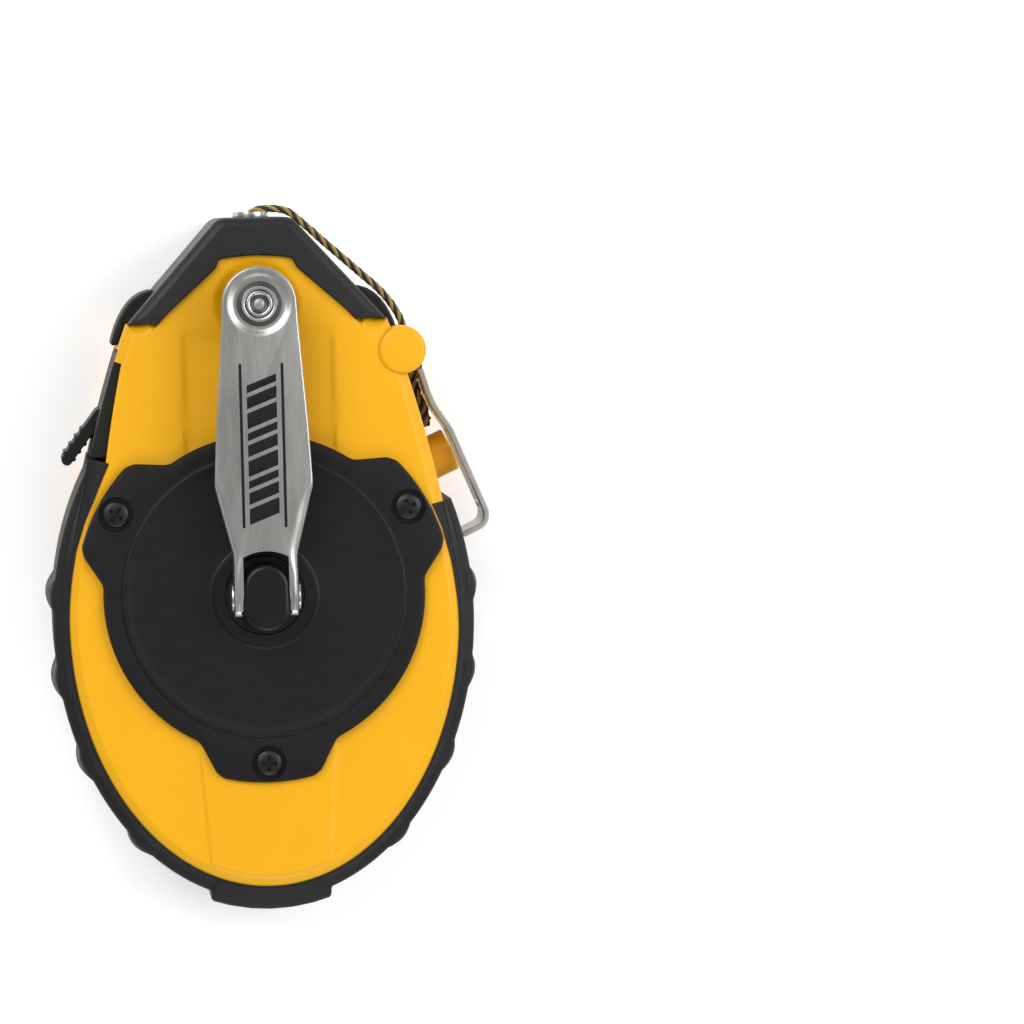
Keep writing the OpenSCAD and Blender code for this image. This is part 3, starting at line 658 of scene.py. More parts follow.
def finish_front_shell():
    shell = cut_openings(make_front_shell())
    notch = door_band(DOOR_Y[0] - DOOR_GAP, DOOR_SHOWN_Y, 1.0, DOOR_T + DOOR_GAP, 24, 1.5)
    carve(shell, [tool_prism(notch, DOOR_Z[1] - 0.5, CASE_TOP + 5)])
    carve(shell, [keeper_disc()], "UNION")
    settle(shell, "case", ["front_shell"])
    make_port_frame("front_port_frame", SPLIT, CASE_TOP - FACE_WALL + 0.2)


def make_rear_shell():
    inner = grown(CASE, -WALL)
    rings = [at(inner, FACE_WALL), at(inner, SPLIT), at(grown(CASE, -SEAM), SPLIT), at(CASE, SPLIT - SEAM)]
    rings += [at(grown(CASE, -inset), drop) for inset, drop in reversed(EDGE_PROFILE)]
    rim = grown(CASE, -EDGE_PROFILE[0][0])
    for scale, depth in ((0.86, 0), (0.845, 0.1), (0.83, 0.45), (0.815, 0.5), (0.6, 0.5), (0.3, 0.5),
                         (0.1, 0.5)):
        rings.append([(x * scale, (y + 4) * scale - 4, depth) for x, y in rim])
    shell = cut_openings(piece("rear_shell_body", *loft(rings), None, "shell_plastic"))
    sink = [(0, -1), (3.3, -1), (2.8, 0.55), (2.8, 3), (0, 3)]
    carve(shell, [piece("tool", *lathe(sink, post, 48), None, "shell_plastic") for post in SCREW_POSTS])
    settle(shell, "case", ["rear_shell"])
    make_port_frame("rear_port_frame", FACE_WALL - 0.2, SPLIT)


finish_front_shell()
make_rear_shell()

# ---------- bumpers ----------

BUMP_R, BUMP_OUT = 4.3, 1.48
BUMP_YS = (0.5, -17, -34, -50)
BUMPER_END = {1: 17.6, -1: 27.95}
# How far the front bumper reaches in over the case edge, as (Y, reach) on the right and the left
LIP = {1: ((-8, 0.4), (5.8, 0.8), (12.7, 1.4), (17.6, 2.4)),
       -1: ((3, 0.4), (9.7, 0.6), (15.6, 1.4), (20.4, 2.5), (27.6, 3.9))}
LIP_SHARES = (0.06, 0.15, 0.3, 0.5, 0.7, 0.85, 1.0)
LIP_T, LIP_ROOT = 0.16, 0.4
# Lowest Y of the bottom boss, as (distance from the middle, Y), looked up this far out of the case
BOSS = ((0, -63.6), (4, -63.35), (8, -62.6), (11.2, -61.6), (11.9, -60.8), (12.4, -50))
BOSS_OUT = 3


def ellipse_exit(p, n, a, b):
    """Distance from p along n to where the ellipse round (0, WIDEST_Y) is left."""
    x, y = p[0], p[1] - WIDEST_Y
    qa = (n.x / a) ** 2 + (n.y / b) ** 2
    qb = 2 * (x * n.x / a ** 2 + y * n.y / b ** 2)
    qc = (x / a) ** 2 + (y / b) ** 2 - 1
    root = qb * qb - 4 * qa * qc
    return max(0.0, (-qb + math.sqrt(root)) / (2 * qa)) if root > 0 else 0.0


def circle_exit(p, n, c, r):
    d = Vector(p) - Vector(c)
    b = d.dot(n)
    root = b * b - d.length_squared + r * r
    return max(0.0, -b + math.sqrt(root)) if root > 0 else 0.0


def bump_centres():
    a, b = HALF_W + BUMPER_T, LOWER_H + BUMPER_T
    for y in BUMP_YS:
        t = math.asin((y - WIDEST_Y) / (BUMPER_UPPER_H if y > WIDEST_Y else b))
        x = (a - BUMP_R + BUMP_OUT) * math.cos(t)
        for s in (-1, 1):
            yield s * x, WIDEST_Y + (b - BUMP_R + BUMP_OUT) * math.sin(t)


def table_value(table, x):
    """The value at x on a line through the table's points, level beyond its ends."""
    for (x0, v0), (x1, v1) in zip(table, table[1:]):
        if x <= x1:
            return v0 + (v1 - v0) * max(0.0, x - x0) / (x1 - x0)
    return table[-1][1]


def edge_drop(inset):
    """How far the case edge lies below the face at this distance from the outline."""
    return table_value(EDGE_PROFILE[::-1], inset)


def bumper_stations():
    """(point, outward normal, band thickness, bump thickness) along the case, right end to left end."""
    outline = case_outline(360, 240)
    n = len(outline)
    start = next(i for i in range(n) if outline[i][0] > 0 and outline[i][1] > BUMPER_END[1])
    stations = []
    for k in range(n):
        i = (start - k) % n
        p = outline[i]
        if p[0] < 0 and p[1] > BUMPER_END[-1]:
            break
        normal = right_of(outline[i - 1], outline[(i + 1) % n])
        band = ellipse_exit(p, normal, HALF_W + BUMPER_T,
                            LOWER_H + BUMPER_T if p[1] < WIDEST_Y else BUMPER_UPPER_H)
        bump = max(circle_exit(p, normal, c, BUMP_R) for c in bump_centres())
        boss_w, boss_y = BOSS[-1]
        if abs(p[0]) < boss_w and p[1] < boss_y:
            low = table_value(BOSS, abs(p[0] + normal.x * BOSS_OUT))
            band = max(band, (p[1] - low) / max(0.2, -normal.y))
        stations.append((p, normal, max(band, 0.25), bump))
    return stations


def soften(values, passes):
    for _ in range(passes):
        inner = [(a + 2 * b + c) / 4 for a, b, c in zip(values, values[1:], values[2:])]
        values = [values[0]] + inner + [values[-1]]
    return values


def make_bumper(name, sign):
    """sign 1 is the front one, above the split, and -1 the rear one, mirrored below it."""
    stations = bumper_stations()
    bands = soften([s[2] for s in stations], 3)
    bumps = soften([s[3] for s in stations], 1)
    height = cad("front_bumper")[1].z - SPLIT
    rings = []
    for (p, normal, _, _), band, bump in zip(stations, bands, bumps):
        extra = max(0.0, bump - band)
        edge = min(1.3, 0.8 * band)
        ring = [(-LIP_ROOT, 0.0)]
        levels = [0.0, 0.25] + [0.25 + (height - edge - 0.25) * i / 9 for i in range(1, 10)]
        for z in levels:
            dome = math.sqrt(max(0.0, 1 - (z / height) ** 2.6))
            ring.append((band - (0.2 if z == 0 else 0) + extra * dome, z))
        for i in range(1, 7):
            a = math.pi / 2 * i / 6
            z = height - edge + edge * math.sin(a)
            dome = math.sqrt(max(0.0, 1 - min(1, z / height) ** 2.6))
            ring.append((band - edge * (1 - math.cos(a)) + extra * dome, z))
        if sign > 0:
            reach = table_value(LIP[1 if p[0] > 0 else -1], p[1])
            lip = [(-reach * k, max(height, CASE_TOP - SPLIT - edge_drop(reach * k) + LIP_T))
                   for k in LIP_SHARES]
        else:
            reach = LIP_ROOT
            lip = [(-reach * k, height) for k in LIP_SHARES]
        ring += [(min(LIP_T, 0.4 * band), lip[0][1])] + lip
        ring += [(-reach, lip[-1][1] - LIP_ROOT), (-LIP_ROOT, height - 0.8)]
        rings.append([(p[0] + normal.x * s, p[1] + normal.y * s, SPLIT + sign * z) for s, z in ring])
    return piece(name + "_band", *loft(rings), "case", "bumper_rubber", [name], smooth=40)


make_bumper("front_bumper", 1)
make_bumper("rear_bumper", -1)

# ---------- nose caps ----------

CAP_OUTLINE = [(25.8, 54.5), (7.3, 75.2), (-7.3, 75.2), (-25.8, 54.5)]
CAP_FOOT_Z = 38.8


def resampled(points, step):
    out = []
    for a, b in zip(points, points[1:]):
        n = max(1, round((Vector(b) - Vector(a)).length / step))
        out += [(a[0] + (b[0] - a[0]) * i / n, a[1] + (b[1] - a[1]) * i / n) for i in range(n)]
    return out


def rounded_corners(points, radius, steps=6):
    """An open polyline with its inner corners rounded."""
    out = [points[0]]
    for a, b, c in zip(points, points[1:], points[2:]):
        a, b, c = Vector(a), Vector(b), Vector(c)
        u, v = (a - b).normalized(), (c - b).normalized()
        cut = min(radius, 0.45 * (a - b).length, 0.45 * (c - b).length)
        p, q = b + u * cut, b + v * cut
        for i in range(steps + 1):
            t = i / steps
            m = (1 - t) ** 2 * p + 2 * (1 - t) * t * b + t * t * q
            out.append((m.x, m.y))
    return out + [points[-1]]


def cap_edge():
    """The caps' outer edge, from the right foot round the nose to the left foot."""
    return resampled(rounded_corners(CAP_OUTLINE, 1.6, 6), 1.0) + [CAP_OUTLINE[-1]]


def window_edge():
    """The window from its left foot over the top to its right foot."""
    (x0, y0), (x1, y1), (x2, y2) = CAP_WINDOW
    half = [(x0, y0), (x1, y1), (x2, y2), (4.0, 67.45), (0, 67.7)]
    pts = [(-x, y) for x, y in half] + list(reversed(half[:-1]))
    return rounded_corners(pts, 1.1, 5)


def make_front_cap():
    outer = cap_edge()
    inner = window_edge()
    n_outer = len(outer)
    outline = outer + resampled(inner, 1.0) + [inner[-1]]
    outline = [p for i, p in enumerate(outline)
               if i == 0 or (Vector(p) - Vector(outline[i - 1])).length > 1e-4]

    def inset(wide, narrow):
        far, near = grown(outline, -wide), grown(outline, -narrow)
        return [far[i] if i < n_outer else near[i] for i in range(len(outline))]

    # flat foot ends keep their own line, so that both offsets meet there
    def ring(wide, narrow, z):
        pts = inset(wide, narrow)
        return [(x, max(y, NOSE_FOOT[1] + narrow), z) for x, y in pts]

    top = CAP_TOP
    rings = [ring(0, 0, CAP_FOOT_Z), ring(0, 0, top - 1.35), ring(0.12, 0.0, top - 1.1),
             ring(0.45, 0.0, top - 0.62), ring(1.0, 0.02, top - 0.3), ring(1.45, 0.1, top - 0.14),
             ring(1.7, 0.3, top)]
    piece("nose_cap_front_plate", *loft(rings), "case", "nose_plastic", ["nose_cap_front"], smooth=28)
    settle(wall("nose_cap_front_wall", SPLIT, CAP_FOOT_Z), "case")


def wall(name, low, high, body_edge=0.0):
    """The cap's side wall round the nose; body_edge rounds its lower outer edge."""
    outer = cap_edge()
    inner = resampled(mirrored([NOSE_TOP, NOSE_FOOT]) + [NOSE_TOP, NOSE_FOOT], 1.0)
    outline = outer + inner + [NOSE_FOOT]
    moved = mitred(outline, -0.5)
    rings = []
    for share, z in ((1.0, low), (0.45, low + body_edge * 0.2), (0.12, low + body_edge * 0.55),
                     (0.0, low + body_edge)) if body_edge else ((0.0, low),):
        ring = []
        for i, (p, q) in enumerate(zip(outline, moved)):
            t = share if i < len(outer) else 0.0
            ring.append((p[0] + (q[0] - p[0]) * t, max(NOSE_FOOT[1], p[1] + (q[1] - p[1]) * t), z))
        rings.append(ring)
    rings.append(at(outline, high))
    obj = piece(name, *loft(rings), None, "nose_plastic")
    # the hole for the line guide, a hair off the seam so that it never runs through a vertex
    carve(obj, [tool_rod((0, MID_Z + 0.013), GUIDE_R, 71.3, 77.1, "Y", 50)], smooth=28)
    return obj


def make_rear_cap():
    side = wall("nose_cap_rear_wall", 0.0, SPLIT - 0.03, body_edge=0.9)
    settle(side, "case", ["nose_cap_rear"])
    outline = cap_edge() + resampled([CAP_OUTLINE[-1], CAP_OUTLINE[0]], 1.5)[1:]
    rings = [at(mitred(outline, -inset), z) for inset, z in ((0.9, 0.02), (0.6, 0.3), (0.5, 0.8))]
    piece("nose_cap_rear_plate", *loft(rings), "case", "nose_plastic")


make_front_cap()
make_rear_cap()

# ---------- gear cover, its screws, the hub and the button ----------

COVER_R, LOBE_R, COVER_LOW, COVER_TOP, SCREW_PCR = 32.1, 37.6, 40.0, 41.8, 33.7
COVER_RING_R, COLLAR_R, COLLAR_TOP = 28.2, 10.2, 42.5
LOBES = (30, 150, 270)
SPRING_R, SPRING_WIRE_R, SPRING_TURNS, SPRING_STEPS = 3.0, 0.35, 5, 28


def spun(points, degrees):
    a = math.radians(degrees)
    return [(x * math.cos(a) - y * math.sin(a), x * math.sin(a) + y * math.cos(a)) for x, y in points]


def cover_outline():
    def arc(radius, start, end, n):
        angles = (math.radians(start + (end - start) * k / n) for k in range(n + 1))
        return [(radius * math.cos(a), radius * math.sin(a)) for a in angles]

    third = [(29.6, -13.4), (35.2, -10.6)] + arc(LOBE_R, -14, 14, 14) + [(35.2, 10.6), (29.6, 13.4)]
    third += arc(COVER_R, 26, 94, 40)
    outline = []
    for turn in LOBES:
        outline += spun(third, turn)
    fine = resampled(outline + [outline[0]], 0.35)
    n = len(fine)
    for _ in range(2):
        fine = [((fine[i - 1][0] + fine[i][0] + fine[(i + 1) % n][0]) / 3,
                 (fine[i - 1][1] + fine[i][1] + fine[(i + 1) % n][1]) / 3) for i in range(n)]
    return fine


def make_cover():
    outline = cover_outline()
    angles = [math.atan2(y, x) for x, y in outline]

    def circle(r, z):
        return [(r * math.cos(a), r * math.sin(a), z) for a in angles]

    rings = [circle(8.02, 38.8), circle(26.5, 38.8), circle(26.5, COVER_LOW)]
    rings += [at(grown(outline, -d), z) for d, z in (
        (0.05, COVER_LOW), (0, COVER_LOW + 0.1), (0, COVER_TOP - 0.75), (0.1, COVER_TOP - 0.4),
        (0.32, COVER_TOP - 0.17), (0.65, COVER_TOP - 0.1))]
    rings += [circle(COVER_RING_R + r, COVER_TOP + z) for r, z in (
        (0.75, -0.1), (0.5, -0.14), (0.3, -0.1), (0.12, 0.14), (-0.15, 0.24), (-0.6, 0.25),
        (-1.3, 0.1), (-2.0, 0.02), (-3.0, 0.0))]
    rings += [circle(22, COVER_TOP), circle(16, COVER_TOP)]
    rings += [circle(COLLAR_R + r, COVER_TOP + z) for r, z in ((0.9, 0.0), (0.55, 0.04), (0.3, 0.2))]
    for r, z in ((COLLAR_R, COLLAR_TOP - 0.22), (COLLAR_R - 0.25, COLLAR_TOP), (8.0, COLLAR_TOP),
                 (7.78, COLLAR_TOP - 0.15), (7.78, COLLAR_TOP - 1.35), (8.02, COLLAR_TOP - 1.4)):
        rings.append(circle(r, z))
    cover = piece("gear_cover_plate", *loft(rings, wrap=True), None, "cover_plastic")
    well = [(0, 40.5), (3.35, 40.5), (3.35, 41.5), (3.7, 41.9), (3.7, 43), (0, 43)]
    wells = [lathe(well, spun([(SCREW_PCR, 0)], turn)[0], 64) for turn in LOBES]
    carve(cover, [piece("tool", *w, None, "cover_plastic") for w in wells], smooth=30)
    settle(cover, "case", ["gear_cover"])


def cross_recess(centre, radius, width, top, depth, turn):
    """A tapered cross to cut a drive recess with."""
    tools = []
    for a in (turn, turn + 90):
        rings = []
        for z, grow_by in ((top - depth, 0.45), (top + 0.4, 1.0)):
            w, r = width * (0.7 + 0.3 * grow_by), radius * (0.55 + 0.45 * grow_by)
            flat = spun([(-r, -w / 2), (r, -w / 2), (r, w / 2), (-r, w / 2)], a)
            rings.append([(x + centre[0], y + centre[1], z) for x, y in flat])
        tools.append(piece("tool", *loft(rings), None, "screw_steel"))
    return tools


def make_cover_screws():
    low, top = 40.5, 41.6
    profile = [(0, low), (2.35, low), (2.55, low + 0.2), (2.6, low + 0.45), (2.5, top - 0.33),
               (2.2, top - 0.14), (1.5, top - 0.02), (0, top)]
    for k, turn in enumerate(LOBES):
        c = spun([(SCREW_PCR, 0)], turn)[0]
        head = piece(f"cover_screw_head_{k + 1}", *lathe(profile, c, 56), None, "screw_steel")
        carve(head, cross_recess(c, 1.65, 0.72, top, 0.75, 20 + 34 * k))
        settle(head, "case", ["cover_screws"] if k == 0 else ())


def obround(w, l, n=20):
    """Closed outline of a slot shape whose long axis is Y."""
    r = w / 2
    pts = [(r * math.cos(a), l / 2 - r + r * math.sin(a)) for a in (math.pi * k / n for k in range(n + 1))]
    return pts + [(-x, -y) for x, y in pts]


def make_button():
    top, low = 52.4, 44.4
    shape = obround(9.1, 13.4)
    rings = []
    for d, z in ((0.25, low), (0, low + 0.2), (0, top - 0.95), (0.06, top - 0.62), (0.25, top - 0.3),
                 (0.55, top - 0.1), (0.95, top - 0.01), (1.6, top - 0.02), (2.6, top - 0.1),
                 (3.6, top - 0.12)):
        rings.append(at(grown(shape, -d), z))
    cap = piece("clutch_button_cap", *loft(rings), None, "button_plastic")
    hollow = tool_prism(obround(6.7, 10.9), low - 1, top - 1.3)
    # the slot that lets the fold pin pass as the button goes down
    slot_top, slot_half = 49.25, 1.65
    slot = tool_rod((0, 0), 1.6, -8, 8, "Y", 40)
    lifted = Matrix.Translation(Vector((0, 0, slot_top)) * MM)
    slot.data.transform(lifted @ Matrix.Rotation(math.pi / 2, 4, "Z"))
    channel = tool_prism([(-8, -slot_half), (8, -slot_half), (8, slot_half), (-8, slot_half)], 40, slot_top)
    carve(cap, [hollow, slot, channel], smooth=32)
    settle(cap, "button", ["clutch_button"])
    # four raised grip bars across the thumb face
    bar = obround(0.62, 3.9, 8)
    for k in range(4):
        middle = -3.15 + 2.1 * k
        rings = [[(y, x + middle, z) for x, y in reversed(grown(bar, -d))]
                 for d, z in ((0, top - 0.25), (0, top - 0.07), (0.1, top + 0.02), (0.2, top + 0.03))]
        piece(f"clutch_button_bar_{k + 1}", *loft(rings), "button", "button_plastic")


def make_spring():
    """The coil under the clutch pad, which on the real reel shortens as the button goes down."""
    low, high = (corner.z for corner in cad("clutch_spring"))
    rise = high - low - 2 * SPRING_WIRE_R
    count = SPRING_TURNS * SPRING_STEPS
    rings = []
    for i in range(count + 1):
        turn = math.tau * i / SPRING_STEPS
        out = Vector((math.cos(turn), math.sin(turn), 0))
        middle = out * SPRING_R + Vector((0, 0, low + SPRING_WIRE_R + rise * i / count))
        rings.append([middle + SPRING_WIRE_R * (out * math.cos(a) + Vector((0, 0, math.sin(a))))
                      for a in (math.tau * k / 10 for k in range(10))])
    obj = piece("clutch_spring_coil", *loft(rings), "crank", "bright_steel", ["clutch_spring"])
    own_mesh(obj)


make_cover()
make_cover_screws()
make_button()
make_spring()

# ---------- crank arm ----------

ARM_LEN, ARM_LOW, ARM_TOP, PIN_Z = 58.2, 50.5, 52.1, 47.5
EAR_OUT, EAR_T, NECK_Y, SHOULDER_Y, TIP_R, ARCH_R, EAR_R = 6.35, 1.65, 8.6, 22.0, 7.4, 9.5, 3.9


def arm_side():
    """Right edge of the arm from the foot of the plate to the middle of the tip."""
    side = [(EAR_OUT, -2.6), (EAR_OUT, NECK_Y), (9.75, SHOULDER_Y), (9.1, 34), (7.6, 54), (TIP_R, ARM_LEN)]
    side = rounded_corners(side, 1.0, 5)
    tip = [(TIP_R * math.cos(a), ARM_LEN + TIP_R * math.sin(a)) for a in
           (math.pi / 2 * k / 22 for k in range(1, 23))]
    return resampled(side, 0.7) + [side[-1]] + tip


def bend_radius(y):
    """How far the plate's edge is rolled over, growing towards the ears."""
    return 0.35 + 2.25 * (1 - smoothstep(17, 24, y)) - 1.6 * (1 - smoothstep(4, 11, y))


def foot_dip(y):
    """How far the plate's foot bends down between the ears."""
    return max(0.0, (1.5 - y) / 4.1) ** 2


def make_arm_plate():
    right = arm_side()[:-1]
    outline = right + [(0, ARM_LEN + TIP_R)] + [(-x, y) for x, y in reversed(right)]
    normals = []
    n = len(outline)
    for i in range(n):
        if i in (0, n - 1):
            normals.append(Vector((1 if i == 0 else -1, 0)))
            continue
        normals.append(right_of(outline[i - 1], outline[i + 1]))
    rings = []

    def ring(share, z_of):
        pts = []
        for (x, y), nv in zip(outline, normals):
            r = bend_radius(y)
            d = r * share
            pts.append((x - nv.x * d, y - nv.y * d, z_of(r) - foot_dip(y)))
        return pts

    rings.append(ring(0.7, lambda r: ARM_LOW))
    rings.append(ring(0.0, lambda r: ARM_LOW + 0.12))
    rings.append(ring(0.0, lambda r: ARM_TOP - min(r, 1.45)))
    for k in range(1, 7):
        a = math.pi / 2 * k / 6
        rings.append(ring(1 - math.cos(a), lambda r, a=a: ARM_TOP - min(r, 1.45) * (1 - math.sin(a))))
    plate = piece("crank_arm_plate", *loft(rings), None, "crank_steel", materials=(CRANK,))
    gap = EAR_OUT - EAR_T
    angles = [math.asin(gap / ARCH_R) * (k / 12 - 1) for k in range(25)]
    arch = [(ARCH_R * math.sin(a), ARCH_R * math.cos(a)) for a in angles]
    arch = [(-gap, -5)] + arch + [(gap, -5)]
    rings = [at(arch, 49), at(arch, ARM_TOP - 0.35), at(grown(arch, 0.35), ARM_TOP + 0.3)]
    cutter = piece("tool", *loft(rings), None, "crank_steel")
    dish = [(0, 51.6), (5.0, 51.6), (5.25, 51.63), (5.75, 51.85), (6.15, 52.02), (6.6, 52.1), (6.8, 52.12),
            (6.8, 54), (0, 54)]
    dish_tool = piece("tool", *lathe(dish, (0, ARM_LEN), 96), None, "crank_steel")
    hole = tool_rod((0, ARM_LEN), 2.25, 40, 60)
    carve(plate, [cutter, dish_tool, hole], smooth=30)
    settle(plate, "arm", ["crank_arm"])


def make_ear(s):
    """An ear with its flange: the plate's edge folded down and tapering out towards the shoulder."""
    side = [p for p in arm_side() if 0.8 < p[1] < 25.8]
    stations = [(EAR_OUT, -EAR_R * math.cos(math.pi / 2 * k / 10)) for k in range(10)]
    stations += [(EAR_OUT, 0.4)] + side
    rings = []
    count = len(stations)
    for i, (x, y) in enumerate(stations):
        nv = right_of(stations[max(0, i - 1)], stations[min(count - 1, i + 1)])
        if y <= 0:
            half = math.sqrt(max(0.0, EAR_R ** 2 - y * y))
            low = PIN_Z - half
            high = min(PIN_Z + EAR_R * (1 - (y / EAR_R) ** 4) ** 0.5, 50.95 - foot_dip(y))
        elif y < NECK_Y:
            t = y / NECK_Y
            low = PIN_Z - EAR_R + (EAR_R - 1) * t
            high = ARM_TOP - min(bend_radius(y), 1.45) - foot_dip(y)
        else:
            low = PIN_Z - 1 + (ARM_LOW - 0.3 - PIN_Z + 1) * smoothstep(NECK_Y, 25.5, y)
            high = ARM_TOP - min(bend_radius(y), 1.45) + 0.02
        high = max(high, low + 0.1)
        c = min(0.35, (high - low) * 0.3)
        # the outer top corner is rounded on the ear and square where the ear runs into the plate
        if y < 0.8:
            corner = [(-c * 0.3, high - c * 0.3), (-c, high)]
        else:
            corner = [(0.0, high - c * 0.5), (-0.05, high)]
        section = [(0.0, low + c), (0.0, high - c)] + corner
        section += [(-EAR_T + c, high), (-EAR_T, high - c), (-EAR_T, low + c), (-EAR_T + c, low),
                    (-c, low), (-c * 0.3, low + c * 0.3)]
        rings.append([(s * (x + nv.x * d), y + nv.y * d, z) for d, z in section])
    ear = piece("crank_arm_ear_" + ("right" if s > 0 else "left"), *loft(rings), None, "crank_steel")
    settle(ear, "arm")


def make_arm_print():
    """Two long stripes with a row of slanted bars between them, printed on the plate."""
    low, high = ARM_TOP - 0.02, ARM_TOP + 0.03
    marks = [[(x - 0.28, 14), (x + 0.28, 14), (x + 0.28, 46.4), (x - 0.28, 46.4)] for x in (-4.15, 4.15)]
    lean = 2.3
    y, k = 14.6, 0
    while y < 41.5:
        tall = (3.1, 2.3, 1.5)[k % 3]
        marks.append([(-2.95, y), (2.95, y + lean), (2.95, min(46.2, y + lean + tall)), (-2.95, y + tall)])
        y += tall + 0.85
        k += 1
    for i, mark in enumerate(marks):
        rings = [at(mark, low), at(mark, high - 0.005), at(grown(mark, -0.03), high)]
        piece(f"arm_print_{i + 1}", *loft(rings), "arm", "crank_steel", materials=(PRINT,))


def make_pin():
    """The fold pin: its shank belongs to the right end, and each ear has a peened head."""
    head = [(1.4, 0.0), (2.8, 0.0), (3.0, 0.15), (2.95, 0.42), (2.6, 0.63), (1.8, 0.73), (0, 0.75)]
    for s, label, shank in ((1, "right", 12.2), (-1, "left", 0.2)):
        points, faces = lathe([(0, -shank), (1.4, -shank)] + head, (0, 0), 48)
        points = [(s * (EAR_OUT + z), y, PIN_Z + x) for x, y, z in points]
        piece(f"arm_pin_{label}", points, faces, "arm", "bright_steel", ["arm_pin"] if s > 0 else ())


def make_rivet():
    t = ARM_TOP
    profile = [(0, 42.2), (3.2, 42.2), (3.4, 42.4), (3.4, 43.0), (2.2, 43.0), (2.2, t - 0.5), (4.25, t - 0.5),
               (4.4, t - 0.38)]
    # above the plate: an outer bead, an inner bead and the domed middle
    profile += [(r, t + z) for r, z in (
        (4.42, -0.1), (4.3, 0.05), (4.05, 0.1), (3.85, 0.07), (3.75, 0.12), (3.68, 0.3), (3.5, 0.4),
        (3.1, 0.36), (2.9, 0.3), (2.78, 0.36), (2.7, 0.55), (2.5, 0.68), (2.2, 0.7), (1.95, 0.64),
        (1.75, 0.4), (1.55, 0.25), (1.1, 0.2), (0.85, 0.24), (0.5, 0.33), (0, 0.36))]
    rivet = piece("knob_rivet_head", *lathe(profile, (0, ARM_LEN), 96), "arm", "bright_steel",
                  ["knob_rivet"], (BRIGHT, PAINTED_SHADE_STEEL), smooth=40)
    # the rings at the rivet's step walls get the dark steel: painted shade and painted dark reflection on the same
    # bright metal
    for face in rivet.data.polygons:
        r = math.hypot(face.center.x / MM, face.center.y / MM - ARM_LEN)
        face.material_index = 1 if 3.55 < r < 4.6 or 2.55 < r < 2.95 or 1.2 < r < 1.9 else 0


def make_knob():
    low = 41.8
    profile = [(2.25, 43.1), (3.6, 43.1), (3.6, low + 0.2), (3.8, low), (5.1, low), (5.4, low + 0.15),
               (6.1, 42.6), (6.3, 43.0), (6.3, 45.6), (6.15, 46.1), (5.7, 47.2), (5.5, 47.8), (5.1, 49.6),
               (4.9, 49.9), (2.25, 49.9)]
    steps = 120
    rings = []
    for r, z in profile:
        ring = []
        for k in range(steps):
            a = math.tau * k / steps
            flute = 0.18 * max(0.0, math.cos(12 * a)) if 42.6 <= z <= 46.1 else 0
            ring.append(((r - flute) * math.cos(a), ARM_LEN + (r - flute) * math.sin(a), z))
        rings.append(ring)
    piece("crank_knob_grip", *loft(rings, wrap=True), "knob", "knob_plastic", ["crank_knob"])


make_arm_plate()
make_ear(1)
make_ear(-1)
make_arm_print()
make_pin()
make_rivet()
make_knob()

# ---------- hook, knot and tail ----------

HOOK_W, HOOK_T = 16.0, 1.15
HOOK_EDGE = [(33.75, 43.9), (35.2, 39), (36.3, 36.4), (39.4, 31.8), (46.4, 14.8), (46.3, 13), (45.4, 11.5),
             (41.4, 9.6)]
HOOK_PIVOT = Vector((32.9, 45.2))
HOOK_EYE = (33.74, 41.92)


def make_hook():
    edge = resampled(rounded_corners(HOOK_EDGE, 1.1, 6), 0.5) + [HOOK_EDGE[-1]]
    rings = []
    half, c = HOOK_W / 2, 0.22
    for i, p in enumerate(edge):
        inward = right_of(edge[max(0, i - 1)], edge[min(len(edge) - 1, i + 1)])
        outer = Vector(p)
        inner = outer + inward * HOOK_T
        section = [(outer + inward * c, -half), (outer, -half + c), (outer, half - c),
                   (outer + inward * c, half), (inner - inward * c, half), (inner, half - c),
                   (inner, -half + c), (inner - inward * c, -half)]
        rings.append([(q.x, q.y, MID_Z + z) for q, z in section])
    strip = piece("line_hook_strip", *loft(rings), None, "hook_steel")
    # the long slot that straddles the post, with rounded corners
    slot_from, slot_to = Vector(HOOK_EDGE[3]), Vector(HOOK_EDGE[4])
    along = (slot_to - slot_from).normalized()
    across = right_of(slot_from, slot_to)
    start = slot_from + along * 0.2
    half_w, length, corner_r = 5.0, 17.2, 1.5
    slot = []
    for cx, cy, a0 in ((length - corner_r, half_w - corner_r, 0), (corner_r, half_w - corner_r, 90),
                       (corner_r, corner_r - half_w, 180), (length - corner_r, corner_r - half_w, 270)):
        for k in range(7):
            a = math.radians(a0 + 15 * k)
            slot.append((cx + corner_r * math.cos(a), cy + corner_r * math.sin(a)))
    rings = [[(*(start + along * s + across * d), MID_Z + w) for s, w in slot] for d in (-4.0, 4.0)]
    tools = [piece("tool", *loft(rings), None, "hook_steel")]
    eye = tool_rod((0, 0), 1.0, -3, 3)
    eye_turn = math.radians(16.5)
    through = Vector((math.cos(eye_turn), math.sin(eye_turn), 0)).to_track_quat("Z", "Y")
    eye.data.transform(Matrix.Translation(Vector((*HOOK_EYE, MID_Z)) * MM) @ through.to_matrix().to_4x4())
    tools.append(eye)
    # teeth pressed into the face that bites on the board's edge
    a, b = Vector((36.9, 35.5)), Vector((39.1, 32.3))
    u = (b - a).normalized()
    n = Vector((-u.y, u.x))
    for k in range(5):
        c = a + (b - a) * (k / 4)
        tri = [c - u * 0.28 + n * 0.3, c + u * 0.28 + n * 0.3, c - n * 0.28]
        rings = [[(q.x, q.y, MID_Z + z) for q in tri] for z in (-9, 9)]
        tools.append(piece("tool", *loft(rings), None, "hook_steel"))
    carve(strip, tools, smooth=32)
    settle(strip, "hook", ["line_hook"])


